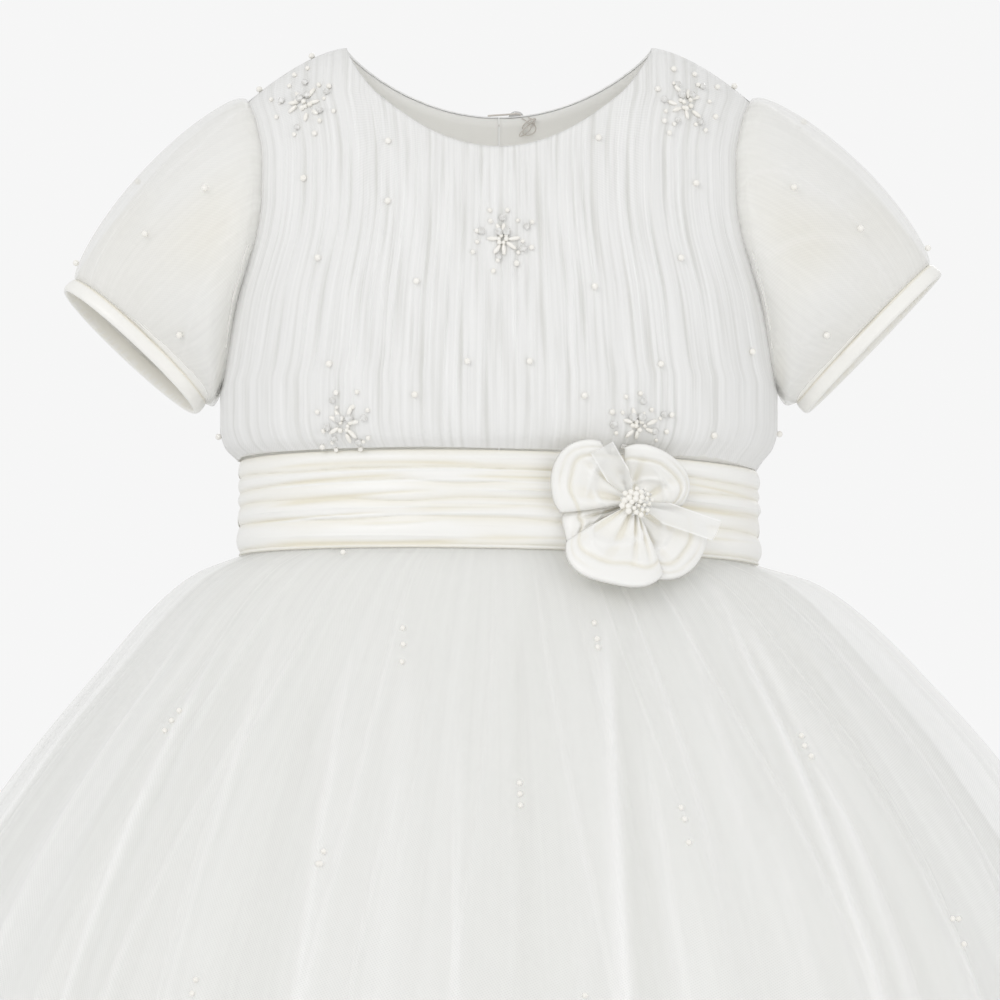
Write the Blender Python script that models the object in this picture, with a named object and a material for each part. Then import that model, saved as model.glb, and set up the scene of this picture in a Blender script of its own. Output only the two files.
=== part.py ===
"""A small child's party dress of satin and tulle, filled out as when it is worn, with no wearer.

Metres, +Z up. The front faces -Y and the wearer's right arm is at -X. The origin lies midway between
the two points where the shoulder seams meet the neckline, on the shoulder seam's plane.
"""
import math

import bpy
import bmesh
import numpy as np

# Gaps and walls
SEAM = 0.0003
SATIN_WALL = 0.0013
SLEEVE_WALL = 0.0012
TULLE_WALL = 0.0011
LINING_WALL = 0.0010
SASH_WALL = 0.0016
ARMHOLE_SEAM = 0.0006

# Neck and shoulders
NECK_HALF = 0.0737
SHOULDER_TIP_X = 0.1219
SHOULDER_TIP_DROP = 0.0269
SHOULDER_BOW = 1.55
FRONT_NECK_DROP = 0.0562
FRONT_NECK_ROUND = 0.72
BACK_NECK_DROP = 0.0272
BACK_NECK_ROUND = 0.93
SHOULDER_ROLL = 0.090

# Body section: a rounded oval, wider than a plain ellipse at its corners
OVAL = 2.2
UNDERARM_Z = -0.1660

# Sash edges: height at the centre, rise of the centre over the sides, and lean to the wearer's left
SASH_HALF = 0.1235
SASH_FRONT = 0.0665
SASH_BACK = 0.0600
SASH_TOP_Z = -0.2012
SASH_TOP_RISE = 0.0024
SASH_TOP_LEAN = 0.0027
SASH_FOOT_Z = -0.2471
SASH_FOOT_RISE = 0.0015
SASH_FOOT_LEAN = 0.0024

# Gathers, pleats and folds
FRONT_GATHERS = 42
BACK_GATHERS = 16
GATHER_DEPTH = 0.0015
NECK_CLOSE = 0.12
SLEEVE_GATHERS = 16
SLEEVE_GATHER_DEPTH = 0.0020
SLEEVE_RINGS = (0.0, 0.10, 0.26, 0.44, 0.62, 0.80, 0.93, 1.0)
OUTER_FOLDS = 20
UNDER_FOLDS = 12
LINING_COLUMNS = 20

# Columns: height, half width of the panel's side edge (below the underarm it is the side seam)
SIDE_EDGE = (
    (-0.2070, 0.1240),
    (-0.2010, 0.1262),
    (-0.1940, 0.1312),
    (-0.1850, 0.1335),
    (-0.1660, 0.1335),
    (-0.1600, 0.1316),
    (-0.1260, 0.1255),
    (-0.1080, 0.1200),
    (-0.0950, 0.1162),
    (-0.0780, 0.1140),
    (-0.0590, 0.1140),
    (-0.0400, 0.1172),
    (-0.0269, 0.1219),
)

# Columns: height, half width of the whole body there, depth in front, depth behind
BODY = (
    (-0.2070, 0.1240, 0.0672, 0.0608),
    (-0.2010, 0.1262, 0.0690, 0.0622),
    (-0.1940, 0.1312, 0.0728, 0.0648),
    (-0.1850, 0.1335, 0.0742, 0.0656),
    (-0.1660, 0.1335, 0.0740, 0.0650),
    (-0.1300, 0.1335, 0.0715, 0.0632),
    (-0.0900, 0.1335, 0.0662, 0.0600),
    (-0.0500, 0.1335, 0.0585, 0.0560),
    (0.0000, 0.1335, 0.0540, 0.0520),
)

# Rows of a bodice panel: the share of the way from its foot up to the underarm, then the armhole's
SIDE_ROWS = (0.0, 0.20, 0.55)
SIDE_SHARE = 0.185
ARMHOLE_ROWS = 8

# Columns: side, outer end x and z of the free edge, inner end x and z, turn of the opening forward
CUFFS = (
    ("right", -1, 0.2107, -0.1171, 0.1450, -0.1781, math.radians(10.0)),
    ("left", 1, 0.2141, -0.1094, 0.1474, -0.1781, math.radians(2.5)),
)
CUFF_WIDTH = 0.0070
CUFF_WALL = 0.0024
CUFF_HALF_DEPTH = 0.0215
CUFF_SIDES = 26
PUFF_ALL_ROUND = 0.0030
PUFF_TOP = 0.0105
PUFF_FRONT = 0.0085
PUFF_FULLNESS = 0.6

# Sash pleats: where each ends, as a share of the way down, and how far its crest stands out
PLEATS = (
    (0.183, 0.0023),
    (0.315, 0.0018),
    (0.497, 0.0021),
    (0.690, 0.0022),
    (0.958, 0.0026),
    (1.000, 0.0014),
)

PLEAT_WANDER = 0.014

# Columns: drop below the sash, reach out from the waist at the sides, and in front and behind
OUTER_SKIRT = (
    (0.0000, 0.0000, 0.0000),
    (0.0085, 0.0215, 0.0090),
    (0.0235, 0.0400, 0.0220),
    (0.0515, 0.0640, 0.0430),
    (0.0975, 0.1010, 0.0800),
    (0.1500, 0.1365, 0.1175),
    (0.2125, 0.1685, 0.1520),
    (0.3000, 0.1935, 0.1830),
    (0.3860, 0.2030, 0.1950),
)
UNDER_SKIRT = (
    (0.0000, -0.0022, -0.0022),
    (0.0085, 0.0145, 0.0048),
    (0.0235, 0.0315, 0.0155),
    (0.0515, 0.0550, 0.0350),
    (0.0975, 0.0910, 0.0700),
    (0.2125, 0.1555, 0.1390),
    (0.3780, 0.1870, 0.1790),
)
LINING = (
    (0.0000, -0.0038, -0.0038),
    (0.0100, 0.0050, -0.0010),
    (0.0500, 0.0300, 0.0190),
    (0.1500, 0.0780, 0.0640),
    (0.3660, 0.1300, 0.1180),
)
# The outer tulle billows further out on the wearer's left. Columns: drop below the sash, extra reach
LEFT_BILLOW = (
    (0.0000, 0.0000),
    (0.0085, 0.0060),
    (0.0235, 0.0090),
    (0.0515, 0.0125),
    (0.0975, 0.0145),
    (0.1500, 0.0110),
    (0.2125, 0.0060),
    (0.3000, 0.0020),
    (0.3860, 0.0000),
)
WAIST_FOLD = 0.0006
HEM_FOLD = 0.0130
UNDER_HEM_FOLD = 0.0095

# Rosette: its middle on the sash front, its table of petals, and its ribbon ends
ROSE_X = 0.0598
ROSE_Z = -0.2262
ROSE_CLEAR = 0.0026
PETAL_WALL = 0.0020
PETAL_ROOT = 0.0035
PETAL_RIM = 0.0032
PETAL_FOLD = 0.0011
# Columns: name, direction, half spread, reach, lift over the sash, folds
PETALS = (
    ("petal_side", 207.0, 22.0, 0.0335, 0.0002, 3),
    ("petal_upper_right", 47.0, 53.0, 0.0300, 0.0002, 4),
    ("petal_upper_left", 153.0, 40.0, 0.0385, 0.0056, 4),
    ("petal_lower_right", -48.0, 40.0, 0.0405, 0.0030, 4),
    ("petal_bottom", -109.0, 43.0, 0.0420, 0.0092, 4),
)
# Columns: name, direction, start, end, width, lift
RIBBONS = (
    ("ribbon_upper", 121.0, 0.0045, 0.0285, 0.0110, 0.0102),
    ("ribbon_side", -20.0, 0.0045, 0.0362, 0.0105, 0.0102),
)
RIBBON_WALL = 0.0010
RIBBON_ARCH = 0.0010
RIBBON_RISE = 0.0016
RIBBON_GATHER = 0.0100
ROSE_CENTRE_RADIUS = 0.0072
ROSE_CENTRE_HEIGHT = 0.0060
ROSE_CENTRE_LIFT = 0.0128
ROSE_CORE_FOOT = -0.0011
ROSE_LEAN = 0.0215
ROSE_LEAN_RUN = 0.0420
ROSE_TOP_LEAN = 0.0065
ROSE_TOP_START = 0.0080
ROSE_TOP_RUN = 0.0160

# Back fastening
BUTTON_X = 0.0085
BUTTON_Z = -0.0292
BUTTON_RADIUS = 0.0040
BUTTON_SEAT = 0.0012
BUTTON_SHANK = 0.0016
LOOP_RADIUS = 0.0030
LOOP_CORD = 0.0005

# Columns: finish, base colour, roughness
FINISHES = {
    "tulle": ((0.86, 0.86, 0.84), 0.70),
    "satin": ((0.88, 0.87, 0.82), 0.35),
    "lining": ((0.84, 0.83, 0.77), 0.60),
    "pearl": ((0.88, 0.85, 0.80), 0.20),
    "clear": ((0.80, 0.80, 0.80), 0.15),
}


def clear_scene():
    """Remove every object, so that the scene holds the dress alone."""
    for item in list(bpy.data.objects):
        bpy.data.objects.remove(item, do_unlink=True)


def finish(name):
    """The material of one finish, made once."""
    known = bpy.data.materials.get(name)
    if known:
        return known
    colour, roughness = FINISHES[name]
    material = bpy.data.materials.new(name)
    material.use_nodes = True
    shader = material.node_tree.nodes["Principled BSDF"]
    shader.inputs["Base Color"].default_value = (*colour, 1.0)
    shader.inputs["Roughness"].default_value = roughness
    shader.inputs["Metallic"].default_value = 0.0
    return material


def add_piece(name, points, faces, finish_name, sharp=55.0):
    """One closed solid from points and faces, its faces turned outward, shaded smooth."""
    mesh = bpy.data.meshes.new(name)
    shape = bmesh.new()
    corners = [shape.verts.new(point) for point in points]
    for face in faces:
        shape.faces.new([corners[index] for index in face])
    bmesh.ops.triangulate(shape, faces=shape.faces[:])
    bmesh.ops.recalc_face_normals(shape, faces=shape.faces[:])
    shape.to_mesh(mesh)
    shape.free()
    mesh.shade_smooth()
    mesh.set_sharp_from_angle(angle=math.radians(sharp))
    mesh.materials.append(finish(finish_name))
    piece = bpy.data.objects.new(name, mesh)
    bpy.context.scene.collection.objects.link(piece)


def smooth_table(table, column, at):
    """A value read from a table's rows along a smooth curve that does not overshoot them."""
    rows = np.array([row[0] for row in table])
    values = np.array([row[column] for row in table])
    at = np.clip(np.asarray(at, dtype=float), rows[0], rows[-1])
    step = np.diff(rows)
    slope = np.diff(values) / step
    lean = np.zeros(len(rows))
    lean[0] = slope[0]
    lean[-1] = slope[-1]
    same = slope[:-1] * slope[1:] > 0.0
    total = np.where(same, slope[:-1] + slope[1:], 1.0)
    lean[1:-1] = np.where(same, 2.0 * slope[:-1] * slope[1:] / total, 0.0)
    place = np.clip(np.searchsorted(rows, at, side="right") - 1, 0, len(step) - 1)
    t = (at - rows[place]) / step[place]
    near = values[place] * (1 + 2 * t) * (1 - t) ** 2 + values[place + 1] * t * t * (3 - 2 * t)
    bend = lean[place] * t * (1 - t) ** 2 + lean[place + 1] * t * t * (t - 1)
    return near + bend * step[place]


def uneven(count, seed, spread=0.35):
    """Steps from 0 to 1 in count uneven shares, worked out from sines of the step's number."""
    order = np.arange(count)
    share = 1.0 + spread * np.sin(2.4 * order + seed) + 0.5 * spread * np.sin(5.1 * order + 2.0 * seed)
    return np.concatenate(([0.0], np.cumsum(share))) / share.sum()


def unlike(count, seed, low=0.45):
    """A height between low and 1 for each fold, worked out from sines of its number."""
    order = np.arange(count)
    wave = 0.5 + 0.3 * np.sin(1.7 * order + seed) + 0.2 * np.sin(4.3 * order + 1.3 * seed)
    return low + (1.0 - low) * wave


def chain_strip(faces, one, two):
    """Triangles between two chains of points. Each entry is an index and its share of the way."""
    i = 0
    j = 0
    while i < len(one) - 1 or j < len(two) - 1:
        last_two = j == len(two) - 1
        if last_two or (i < len(one) - 1 and one[i + 1][1] <= two[j + 1][1]):
            faces.append((one[i][0], one[i + 1][0], two[j][0]))
            i += 1
        else:
            faces.append((one[i][0], two[j + 1][0], two[j][0]))
            j += 1


def grid_faces(faces, ids):
    """Four-sided faces over a grid of point numbers."""
    rows, columns = ids.shape
    for row in range(rows - 1):
        for column in range(columns - 1):
            faces.append((ids[row, column], ids[row, column + 1],
                          ids[row + 1, column + 1], ids[row + 1, column]))


def wall(name, outer, outer_share, inner, inner_share, finish_name, closed=False):
    """A cloth wall between an outer and an inner grid with equal rows and any columns.

    The shares say how far round each column lies. A closed wall runs right round a tube.
    """
    rows = outer.shape[0]
    outer_ids = np.arange(rows * outer.shape[1]).reshape(rows, -1)
    inner_ids = outer_ids.size + np.arange(rows * inner.shape[1]).reshape(rows, -1)
    points = np.concatenate((outer.reshape(-1, 3), inner.reshape(-1, 3)))
    if closed:
        outer_ids = np.concatenate((outer_ids, outer_ids[:, :1]), axis=1)
        inner_ids = np.concatenate((inner_ids, inner_ids[:, :1]), axis=1)
        outer_share = np.append(outer_share, 1.0)
        inner_share = np.append(inner_share, 1.0)
    faces = []
    grid_faces(faces, outer_ids)
    grid_faces(faces, inner_ids[:, ::-1])
    for row in (0, rows - 1):
        one = list(zip(outer_ids[row].tolist(), outer_share.tolist()))
        two = list(zip(inner_ids[row].tolist(), inner_share.tolist()))
        chain_strip(faces, one, two)
    if not closed:
        for column in (0, -1):
            for row in range(rows - 1):
                faces.append((outer_ids[row, column], outer_ids[row + 1, column],
                              inner_ids[row + 1, column], inner_ids[row, column]))
    add_piece(name, points.tolist(), faces, finish_name)


def shoulder_z(x):
    """Height of the shoulder seam's line at a distance from the centre."""
    run = np.clip((np.abs(x) - NECK_HALF) / (SHOULDER_TIP_X - NECK_HALF), 0.0, 1.2)
    return -SHOULDER_TIP_DROP * run ** SHOULDER_BOW


def neck_z(x, behind):
    """Height of the neckline at a distance from the centre, in front or behind."""
    drop = BACK_NECK_DROP if behind else FRONT_NECK_DROP
    roundness = BACK_NECK_ROUND if behind else FRONT_NECK_ROUND
    inside = np.clip(1.0 - (np.abs(x) / NECK_HALF) ** 2, 0.0, 1.0)
    return -drop * inside ** roundness


def sash_top(x):
    """Height of the sash's top edge."""
    share = x / (SASH_HALF + 0.0015)
    return SASH_TOP_Z - SASH_TOP_RISE * share ** 2 - SASH_TOP_LEAN * share


def sash_foot(x):
    """Height of the sash's bottom edge."""
    share = x / (SASH_HALF + 0.0015)
    return SASH_FOOT_Z - SASH_FOOT_RISE * share ** 2 - SASH_FOOT_LEAN * share


def body_depth(x, z, behind):
    """How far the body's surface stands from the shoulder plane at x and z."""
    half = smooth_table(BODY, 1, z)
    depth = smooth_table(BODY, 3 if behind else 2, z)
    across = np.clip(1.0 - (np.abs(x) / half) ** OVAL, 0.0, 1.0) ** (1.0 / OVAL)
    down = np.clip((shoulder_z(x) - z) / SHOULDER_ROLL, 0.0, 1.0)
    roll = np.sqrt(1.0 - (1.0 - down) ** 2)
    return depth * across * roll


def armhole_heights():
    """Heights down the armhole, close together at its top and bottom."""
    middle = 0.5 * (UNDERARM_Z - SHOULDER_TIP_DROP)
    half = 0.5 * (-SHOULDER_TIP_DROP - UNDERARM_Z)
    turn = np.linspace(0.0, math.pi, ARMHOLE_ROWS + 1)
    return middle + half * np.cos(turn)


def panel_point(s, share, behind):
    """A point of a bodice panel. s runs from -1 to 1 across, share from 0 at the foot to 1."""
    foot = sash_top(s * SASH_HALF) + SEAM
    top_x = s * SHOULDER_TIP_X
    top = np.where(np.abs(top_x) < NECK_HALF, neck_z(top_x, behind), shoulder_z(top_x))
    low = foot + (UNDERARM_Z - foot) * share / SIDE_SHARE
    high = UNDERARM_Z + (top - UNDERARM_Z) * (share - SIDE_SHARE) / (1.0 - SIDE_SHARE)
    z = np.where(share < SIDE_SHARE, low, high)
    x = s * smooth_table(SIDE_EDGE, 1, z)
    depth = body_depth(x, z, behind)
    return np.stack((x, depth if behind else -depth, z), axis=-1)


def body_out(x, z, behind):
    """The direction straight out of the body's surface, from how its depth changes nearby."""
    small = 1e-5
    toward = np.where(x > 0, small, -small)
    depth = body_depth(x, z, behind)
    slope_x = (depth - body_depth(x - toward, z, behind)) / toward
    slope_z = (depth - body_depth(x, z - small, behind)) / small
    facing = np.full_like(depth, 1.0 if behind else -1.0)
    out = np.stack((-slope_x, facing, -slope_z), axis=-1)
    return out / np.linalg.norm(out, axis=-1, keepdims=True)


def panel_grid(s, shares, relief, behind):
    """Points of a bodice panel's grid, moved out along its surface by the relief."""
    across, down = np.meshgrid(s, shares)
    point = panel_point(across, down, behind)
    point = point + body_out(point[..., 0], point[..., 2], behind) * relief[..., None]
    bound = SEAM / 2
    point[..., 1] = np.maximum(point[..., 1], bound) if behind else np.minimum(point[..., 1], -bound)
    return point


def bodice_panel(name, start, end, gathers, seed, behind):
    """One bodice panel, its gathers raised on its outside over a plain inside."""
    heights = armhole_heights()[::-1]
    up = (heights - heights[0]) / (heights[-1] - heights[0])
    shares = np.concatenate((np.array(SIDE_ROWS) * SIDE_SHARE, SIDE_SHARE + (1.0 - SIDE_SHARE) * up))
    steps = uneven(2 * gathers, seed)
    s = start + (end - start) * steps
    corner = NECK_HALF / SHOULDER_TIP_X
    for side in (-corner, corner):
        if start < side < end:
            s[np.argmin(np.abs(s - side))] = side
    steps = (s - start) / (end - start)
    crest = np.zeros((len(shares), len(s)))
    height = GATHER_DEPTH * unlike(gathers, seed)
    crest[:, 1::2] = height
    fade = 0.75 + 0.25 * np.sin(3.0 * shares[:, None] + 2.1 * np.arange(len(s))[None, :])
    crest *= fade
    crest[0] *= 0.4
    outer = panel_grid(s, shares, crest, behind)
    place = np.arange(len(s))
    by_neck = np.abs(np.abs(s) - corner) < NECK_CLOSE
    shoulder = (np.abs(s) > corner) & (place % 2 == 0)
    kept = (place % 4 == 0) | (place == len(s) - 1) | by_neck | shoulder
    plain = s[kept]
    inner = panel_grid(plain, shares, np.full((len(shares), len(plain)), -SATIN_WALL), behind)
    wall(name, outer, steps, inner, steps[kept], "tulle")


def armhole_loop():
    """The armhole's edge: down the front from the shoulder tip, and up behind to it."""
    z = armhole_heights()
    x = smooth_table(SIDE_EDGE, 1, z)
    front = np.stack((x, -body_depth(x, z, False), z), axis=-1)
    back = np.stack((x, body_depth(x, z, True), z), axis=-1)[::-1]
    loop = np.concatenate((front[:-1], back[:-1]))
    loop[0, 1] = 0.0
    loop[ARMHOLE_ROWS, 1] = 0.0
    return loop


def around(loop, count):
    """A loop's points and the points between them, count in all, in even steps of its number."""
    size = len(loop)
    place = np.arange(count) * size / count
    low = np.floor(place).astype(int)
    share = (place - low)[:, None]
    return loop[low % size] * (1 - share) + loop[(low + 1) % size] * share


def cuff_frame(row):
    """A cuff's middle, its long and short directions, its axis and its half length, for +X."""
    _, _, outer_x, outer_z, inner_x, inner_z, turn = row
    outer = np.array((outer_x, 0.0, outer_z))
    inner = np.array((inner_x, 0.0, inner_z))
    along = outer - inner
    half = 0.5 * np.linalg.norm(along)
    along = along / np.linalg.norm(along)
    axis = np.array((-along[2], 0.0, along[0])) * -1.0
    aside = np.array((0.0, 1.0, 0.0)) * math.cos(turn) + axis * math.sin(turn)
    axis = np.cross(aside, along)
    if axis[2] > 0:
        axis = -axis
    return 0.5 * (outer + inner), along, aside, axis, half


def cuff_loop(row, count, back_off, grow):
    """A loop round the cuff, back_off up the sleeve from its free edge and grow wider."""
    middle, along, aside, axis, half = cuff_frame(row)
    turn = np.arange(count) * 2 * math.pi / count
    wide = (half - CUFF_WALL / 2 + grow) * np.cos(turn)
    deep = (CUFF_HALF_DEPTH + grow) * np.sin(turn)
    return middle - axis * back_off + wide[:, None] * along - deep[:, None] * aside


def sleeve(row):
    """A short puffed sleeve, from the armhole to the cuff, gathered at both."""
    name, side = row[0], row[1]
    count = 2 * SLEEVE_GATHERS
    rings = np.array(SLEEVE_RINGS)
    start = armhole_loop()
    end = cuff_loop(row, len(start), CUFF_WIDTH + SEAM, -CUFF_WALL / 2)
    turn = np.arange(len(start)) * 2 * math.pi / len(start)
    puff = PUFF_ALL_ROUND + PUFF_TOP * (0.5 + 0.5 * np.cos(turn)) + PUFF_FRONT * np.abs(np.sin(turn))
    start_middle = start.mean(axis=0)
    end_middle = end.mean(axis=0)
    base = []
    outward = []
    for share in rings:
        ring = (1 - share) * start + share * end
        middle = (1 - share) * start_middle + share * end_middle
        away = ring - middle
        away /= np.linalg.norm(away, axis=1, keepdims=True)
        ring = ring + away * (puff * max(0.0, math.sin(math.pi * share ** 0.85)) ** PUFF_FULLNESS)[:, None]
        if share == 0.0:
            away[:, 0] = 0.0
            away /= np.linalg.norm(away, axis=1, keepdims=True)
        base.append(around(ring + np.array((ARMHOLE_SEAM, 0.0, 0.0)) * (1 - share), count))
        outward.append(around(away, count))
    base = np.array(base)
    outward = np.array(outward)
    height = SLEEVE_GATHER_DEPTH * unlike(SLEEVE_GATHERS, 1.0 + side)
    rise = np.zeros((len(rings), count))
    rise[:, 1::2] = height[None, :] * (0.25 + 0.75 * np.sin(math.pi * (0.15 + 0.7 * rings)))[:, None]
    rise[0] = 0.0
    rise[-1] *= 0.4
    outer = base + outward * rise[..., None]
    inner = (base - outward * SLEEVE_WALL)[:, ::2]
    flip = np.array((side, 1.0, 1.0))
    shares = np.arange(count) / count
    wall("sleeve_" + name, outer * flip, shares, inner * flip, shares[::2], "tulle", closed=True)


def cuff(row):
    """A folded satin band round the sleeve's end, with a round fold at its free edge."""
    name, side = row[0], row[1]
    count = CUFF_SIDES
    # Columns: distance up the sleeve, distance out from the loop
    section = (
        (0.0000, -0.0008),
        (0.0006, 0.0003),
        (0.0035, 0.0006),
        (CUFF_WIDTH, 0.0002),
        (CUFF_WIDTH, -0.0018),
        (0.0006, -0.0018),
    )
    loops = np.array([cuff_loop(row, count, up, out) for up, out in section])
    loops = loops * np.array((side, 1.0, 1.0))
    ids = np.arange(len(section) * count).reshape(len(section), count)
    ids = np.concatenate((ids, ids[:, :1]), axis=1)
    ids = np.concatenate((ids, ids[:1]), axis=0)
    faces = []
    grid_faces(faces, ids)
    add_piece("cuff_" + name, loops.reshape(-1, 3).tolist(), faces, "satin")


def oval_ring(turn, half, depth_front, depth_back):
    """Points and outward directions of the waist's oval. A turn of 0 is +X, and 90 is behind."""
    cosine = np.cos(turn)
    sine = np.sin(turn)
    depth = np.where(sine > 0, depth_back, depth_front)
    x = half * np.sign(cosine) * np.abs(cosine) ** (2 / OVAL)
    y = depth * np.sign(sine) * np.abs(sine) ** (2 / OVAL)
    out_x = np.sign(x) * np.abs(x / half) ** (OVAL - 1) / half
    out_y = np.sign(y) * np.abs(y / depth) ** (OVAL - 1) / depth
    size = np.hypot(out_x, out_y)
    return x, y, out_x / size, out_y / size


def waist_ring(start, end, shares, side_reach=0.0, front_reach=0.0):
    """Points and outward directions of a ring a reach out from the waist, even along its length."""
    fine = np.linspace(start, end, 1441)
    x, y, out_x, out_y = oval_ring(fine, SASH_HALF, SASH_FRONT, SASH_BACK)
    run = np.hypot(np.diff(x + out_x * side_reach), np.diff(y + out_y * front_reach))
    length = np.concatenate(([0.0], np.cumsum(run)))
    turns = np.interp(np.asarray(shares) * length[-1], length, fine)
    return oval_ring(turns, SASH_HALF, SASH_FRONT, SASH_BACK)


def keep_side(points, start, end):
    """Hold a piece 0.15 mm inside the seam planes at y = 0, and at x = 0 where it ends there."""
    bound = SEAM / 2
    middle = 0.5 * (start + end)
    if math.sin(middle) > 0:
        points[..., 1] = np.maximum(points[..., 1], bound)
    else:
        points[..., 1] = np.minimum(points[..., 1], -bound)
    if abs(end - start) < math.pi * 0.9:
        if math.cos(middle) > 0:
            points[..., 0] = np.maximum(points[..., 0], bound)
        else:
            points[..., 0] = np.minimum(points[..., 0], -bound)
    return points


def sash(name, start, end, columns, seed):
    """A length of sash, its satin laid in soft level pleats of uneven width."""
    shares = np.linspace(0.0, 1.0, columns + 1)
    x, y, out_x, out_y = waist_ring(start, end, shares)
    levels = [np.zeros(columns + 1)]
    crests = [np.full(columns + 1, 0.0004)]
    before = 0.0
    for number, (foot, crest) in enumerate(PLEATS):
        sway = math.sin(math.pi * foot)
        wander = PLEAT_WANDER * sway * np.sin(7.0 * x / SASH_HALF + 1.9 * number + seed)
        swell = 0.78 + 0.22 * np.sin(9.0 * x / SASH_HALF + 2.7 * number + seed)
        edge = np.full(columns + 1, foot) + wander
        levels.append(0.5 * (before + edge))
        crests.append(crest * swell)
        levels.append(edge)
        crests.append(np.full(columns + 1, 0.0002))
        before = edge
    levels = np.array(levels)
    crests = np.array(crests)
    top = sash_top(x)[None, :]
    foot = sash_foot(x)[None, :]
    z = top + levels * (foot - top)
    outer = np.stack((x + out_x * crests, y + out_y * crests, z), axis=-1)
    inner = np.stack((x - out_x * SASH_WALL + 0 * crests, y - out_y * SASH_WALL + 0 * crests, z), axis=-1)
    outer = keep_side(outer, start, end)
    inner = keep_side(inner, start, end)
    wall(name, outer, shares, inner[:, ::2], shares[::2], "satin")


def skirt_layer(name, table, folds, fold_reach, thickness, start, end, seed, finish_name, billow=0.0):
    """Half of one skirt layer, from the sash's foot to the hem, its folds deeper downward."""
    drops = np.array([row[0] for row in table])
    if folds:
        shares = uneven(2 * folds, seed, 0.24)
        height = np.zeros(2 * folds + 1)
        height[1::2] = unlike(folds, seed, 0.35)
    else:
        shares = np.linspace(0.0, 1.0, LINING_COLUMNS + 1)
        height = np.zeros(LINING_COLUMNS + 1)
    outer = []
    inner = []
    longest = drops[-1]
    for drop, side_reach, front_reach in table:
        down = drop / longest
        x, y, out_x, out_y = waist_ring(start, end, shares, side_reach, front_reach)
        ripple = height * (WAIST_FOLD + fold_reach * down ** 0.8)
        ripple = ripple + billow * smooth_table(LEFT_BILLOW, 1, drop) * np.clip(out_x, 0.0, 1.0) ** 2
        side = side_reach + ripple
        front = front_reach + ripple
        z = (sash_foot(x) - SEAM) * (1 - down) + (SASH_FOOT_Z - SEAM) * down - drop
        outer.append(np.stack((x + out_x * side, y + out_y * front, z), axis=-1))
        side = side - thickness
        front = front - thickness
        inner.append(np.stack((x + out_x * side, y + out_y * front, z), axis=-1))
    outer = keep_side(np.array(outer), start, end)
    inner = keep_side(np.array(inner), start, end)
    wall(name, outer, shares, inner, shares, finish_name)


def rose_base(x, z):
    """A point of the sash front under the rosette and its outward direction. Below, it leans out."""
    depth = SASH_FRONT * np.clip(1.0 - (np.abs(x) / SASH_HALF) ** OVAL, 0.0, 1.0) ** (1.0 / OVAL)
    out_x = (np.abs(x) / SASH_HALF) ** (OVAL - 1) / SASH_HALF
    out_y = -((depth / SASH_FRONT) ** (OVAL - 1)) / SASH_FRONT
    size = np.hypot(out_x, out_y)
    below = np.clip((ROSE_Z - z) / ROSE_LEAN_RUN, 0.0, 1.3)
    above = np.clip((z - ROSE_Z - ROSE_TOP_START) / ROSE_TOP_RUN, 0.0, 1.6)
    lean = ROSE_LEAN * below ** 1.6 + ROSE_TOP_LEAN * above ** 1.5
    point = np.stack((x, -depth - lean, z), axis=-1)
    out = np.stack((out_x / size, out_y / size, 0 * x), axis=-1)
    return point, out


def rose_point(direction, reach, height):
    """A point of the rosette, at a direction and reach from its middle and a height off the sash."""
    x = ROSE_X + reach * np.cos(direction)
    z = ROSE_Z + reach * np.sin(direction)
    point, out = rose_base(x, z)
    return point + out * (height + ROSE_CLEAR)[..., None]


def petal(name, direction, half_spread, reach, lift, folds):
    """A satin petal gathered to the middle, cupped, with radial folds and a rolled outer rim."""
    columns = 3 * folds
    rows = np.array((0.0, 0.35, 0.68, 0.90, 1.0))
    across = np.linspace(-1.0, 1.0, columns + 1)
    grid_across, grid_out = np.meshgrid(across, rows)
    edge = reach * (1.0 - 0.22 * grid_across ** 2 + 0.03 * np.sin(5.0 * grid_across + direction))
    radius = PETAL_ROOT + (edge - PETAL_ROOT) * grid_out
    spread = math.radians(half_spread) * (1.0 - 0.15 * grid_out)
    angle = math.radians(direction) + grid_across * spread
    wave = PETAL_FOLD * np.cos(grid_across * math.pi * folds) * np.sin(math.pi * (0.12 + 0.7 * grid_out))
    wave *= 1.0 - grid_across ** 4
    rim = PETAL_RIM * np.clip((grid_out - 0.55) / 0.35, 0.0, 1.0) * (1.0 - (grid_out > 0.95) * 0.7)
    low = lift + 0.6 * PETAL_FOLD + wave
    high = low + PETAL_WALL + rim * 0.6
    bottom = rose_point(angle, radius, low)
    top = rose_point(angle, radius, high)
    shares = np.linspace(0.0, 1.0, columns + 1)
    wall("rosette_" + name, top, shares, bottom, shares, "satin")


def ribbon(name, direction, start, end, width, lift):
    """An end of sheer ribbon laid over the petals from the rosette's middle, cut straight."""
    shares = np.linspace(0.0, 1.0, 7)
    across = np.linspace(-0.5, 0.5, 5)
    along, aside = np.meshgrid(start + (end - start) * shares, across * width)
    aside = aside * (0.35 + 0.65 * np.clip((along - start) / RIBBON_GATHER, 0.0, 1.0))
    turn = math.radians(direction)
    x = ROSE_X + along * math.cos(turn) - aside * math.sin(turn)
    z = ROSE_Z + along * math.sin(turn) + aside * math.cos(turn)
    arch = RIBBON_ARCH * np.cos(aside / width * math.pi) + RIBBON_RISE * (along - start) / (end - start)
    point, out = rose_base(x, z)
    top = point + out * (ROSE_CLEAR + lift + arch + RIBBON_WALL)[..., None]
    bottom = point + out * (ROSE_CLEAR + lift + arch)[..., None]
    wall("rosette_" + name, top, shares, bottom, shares, "tulle")


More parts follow.
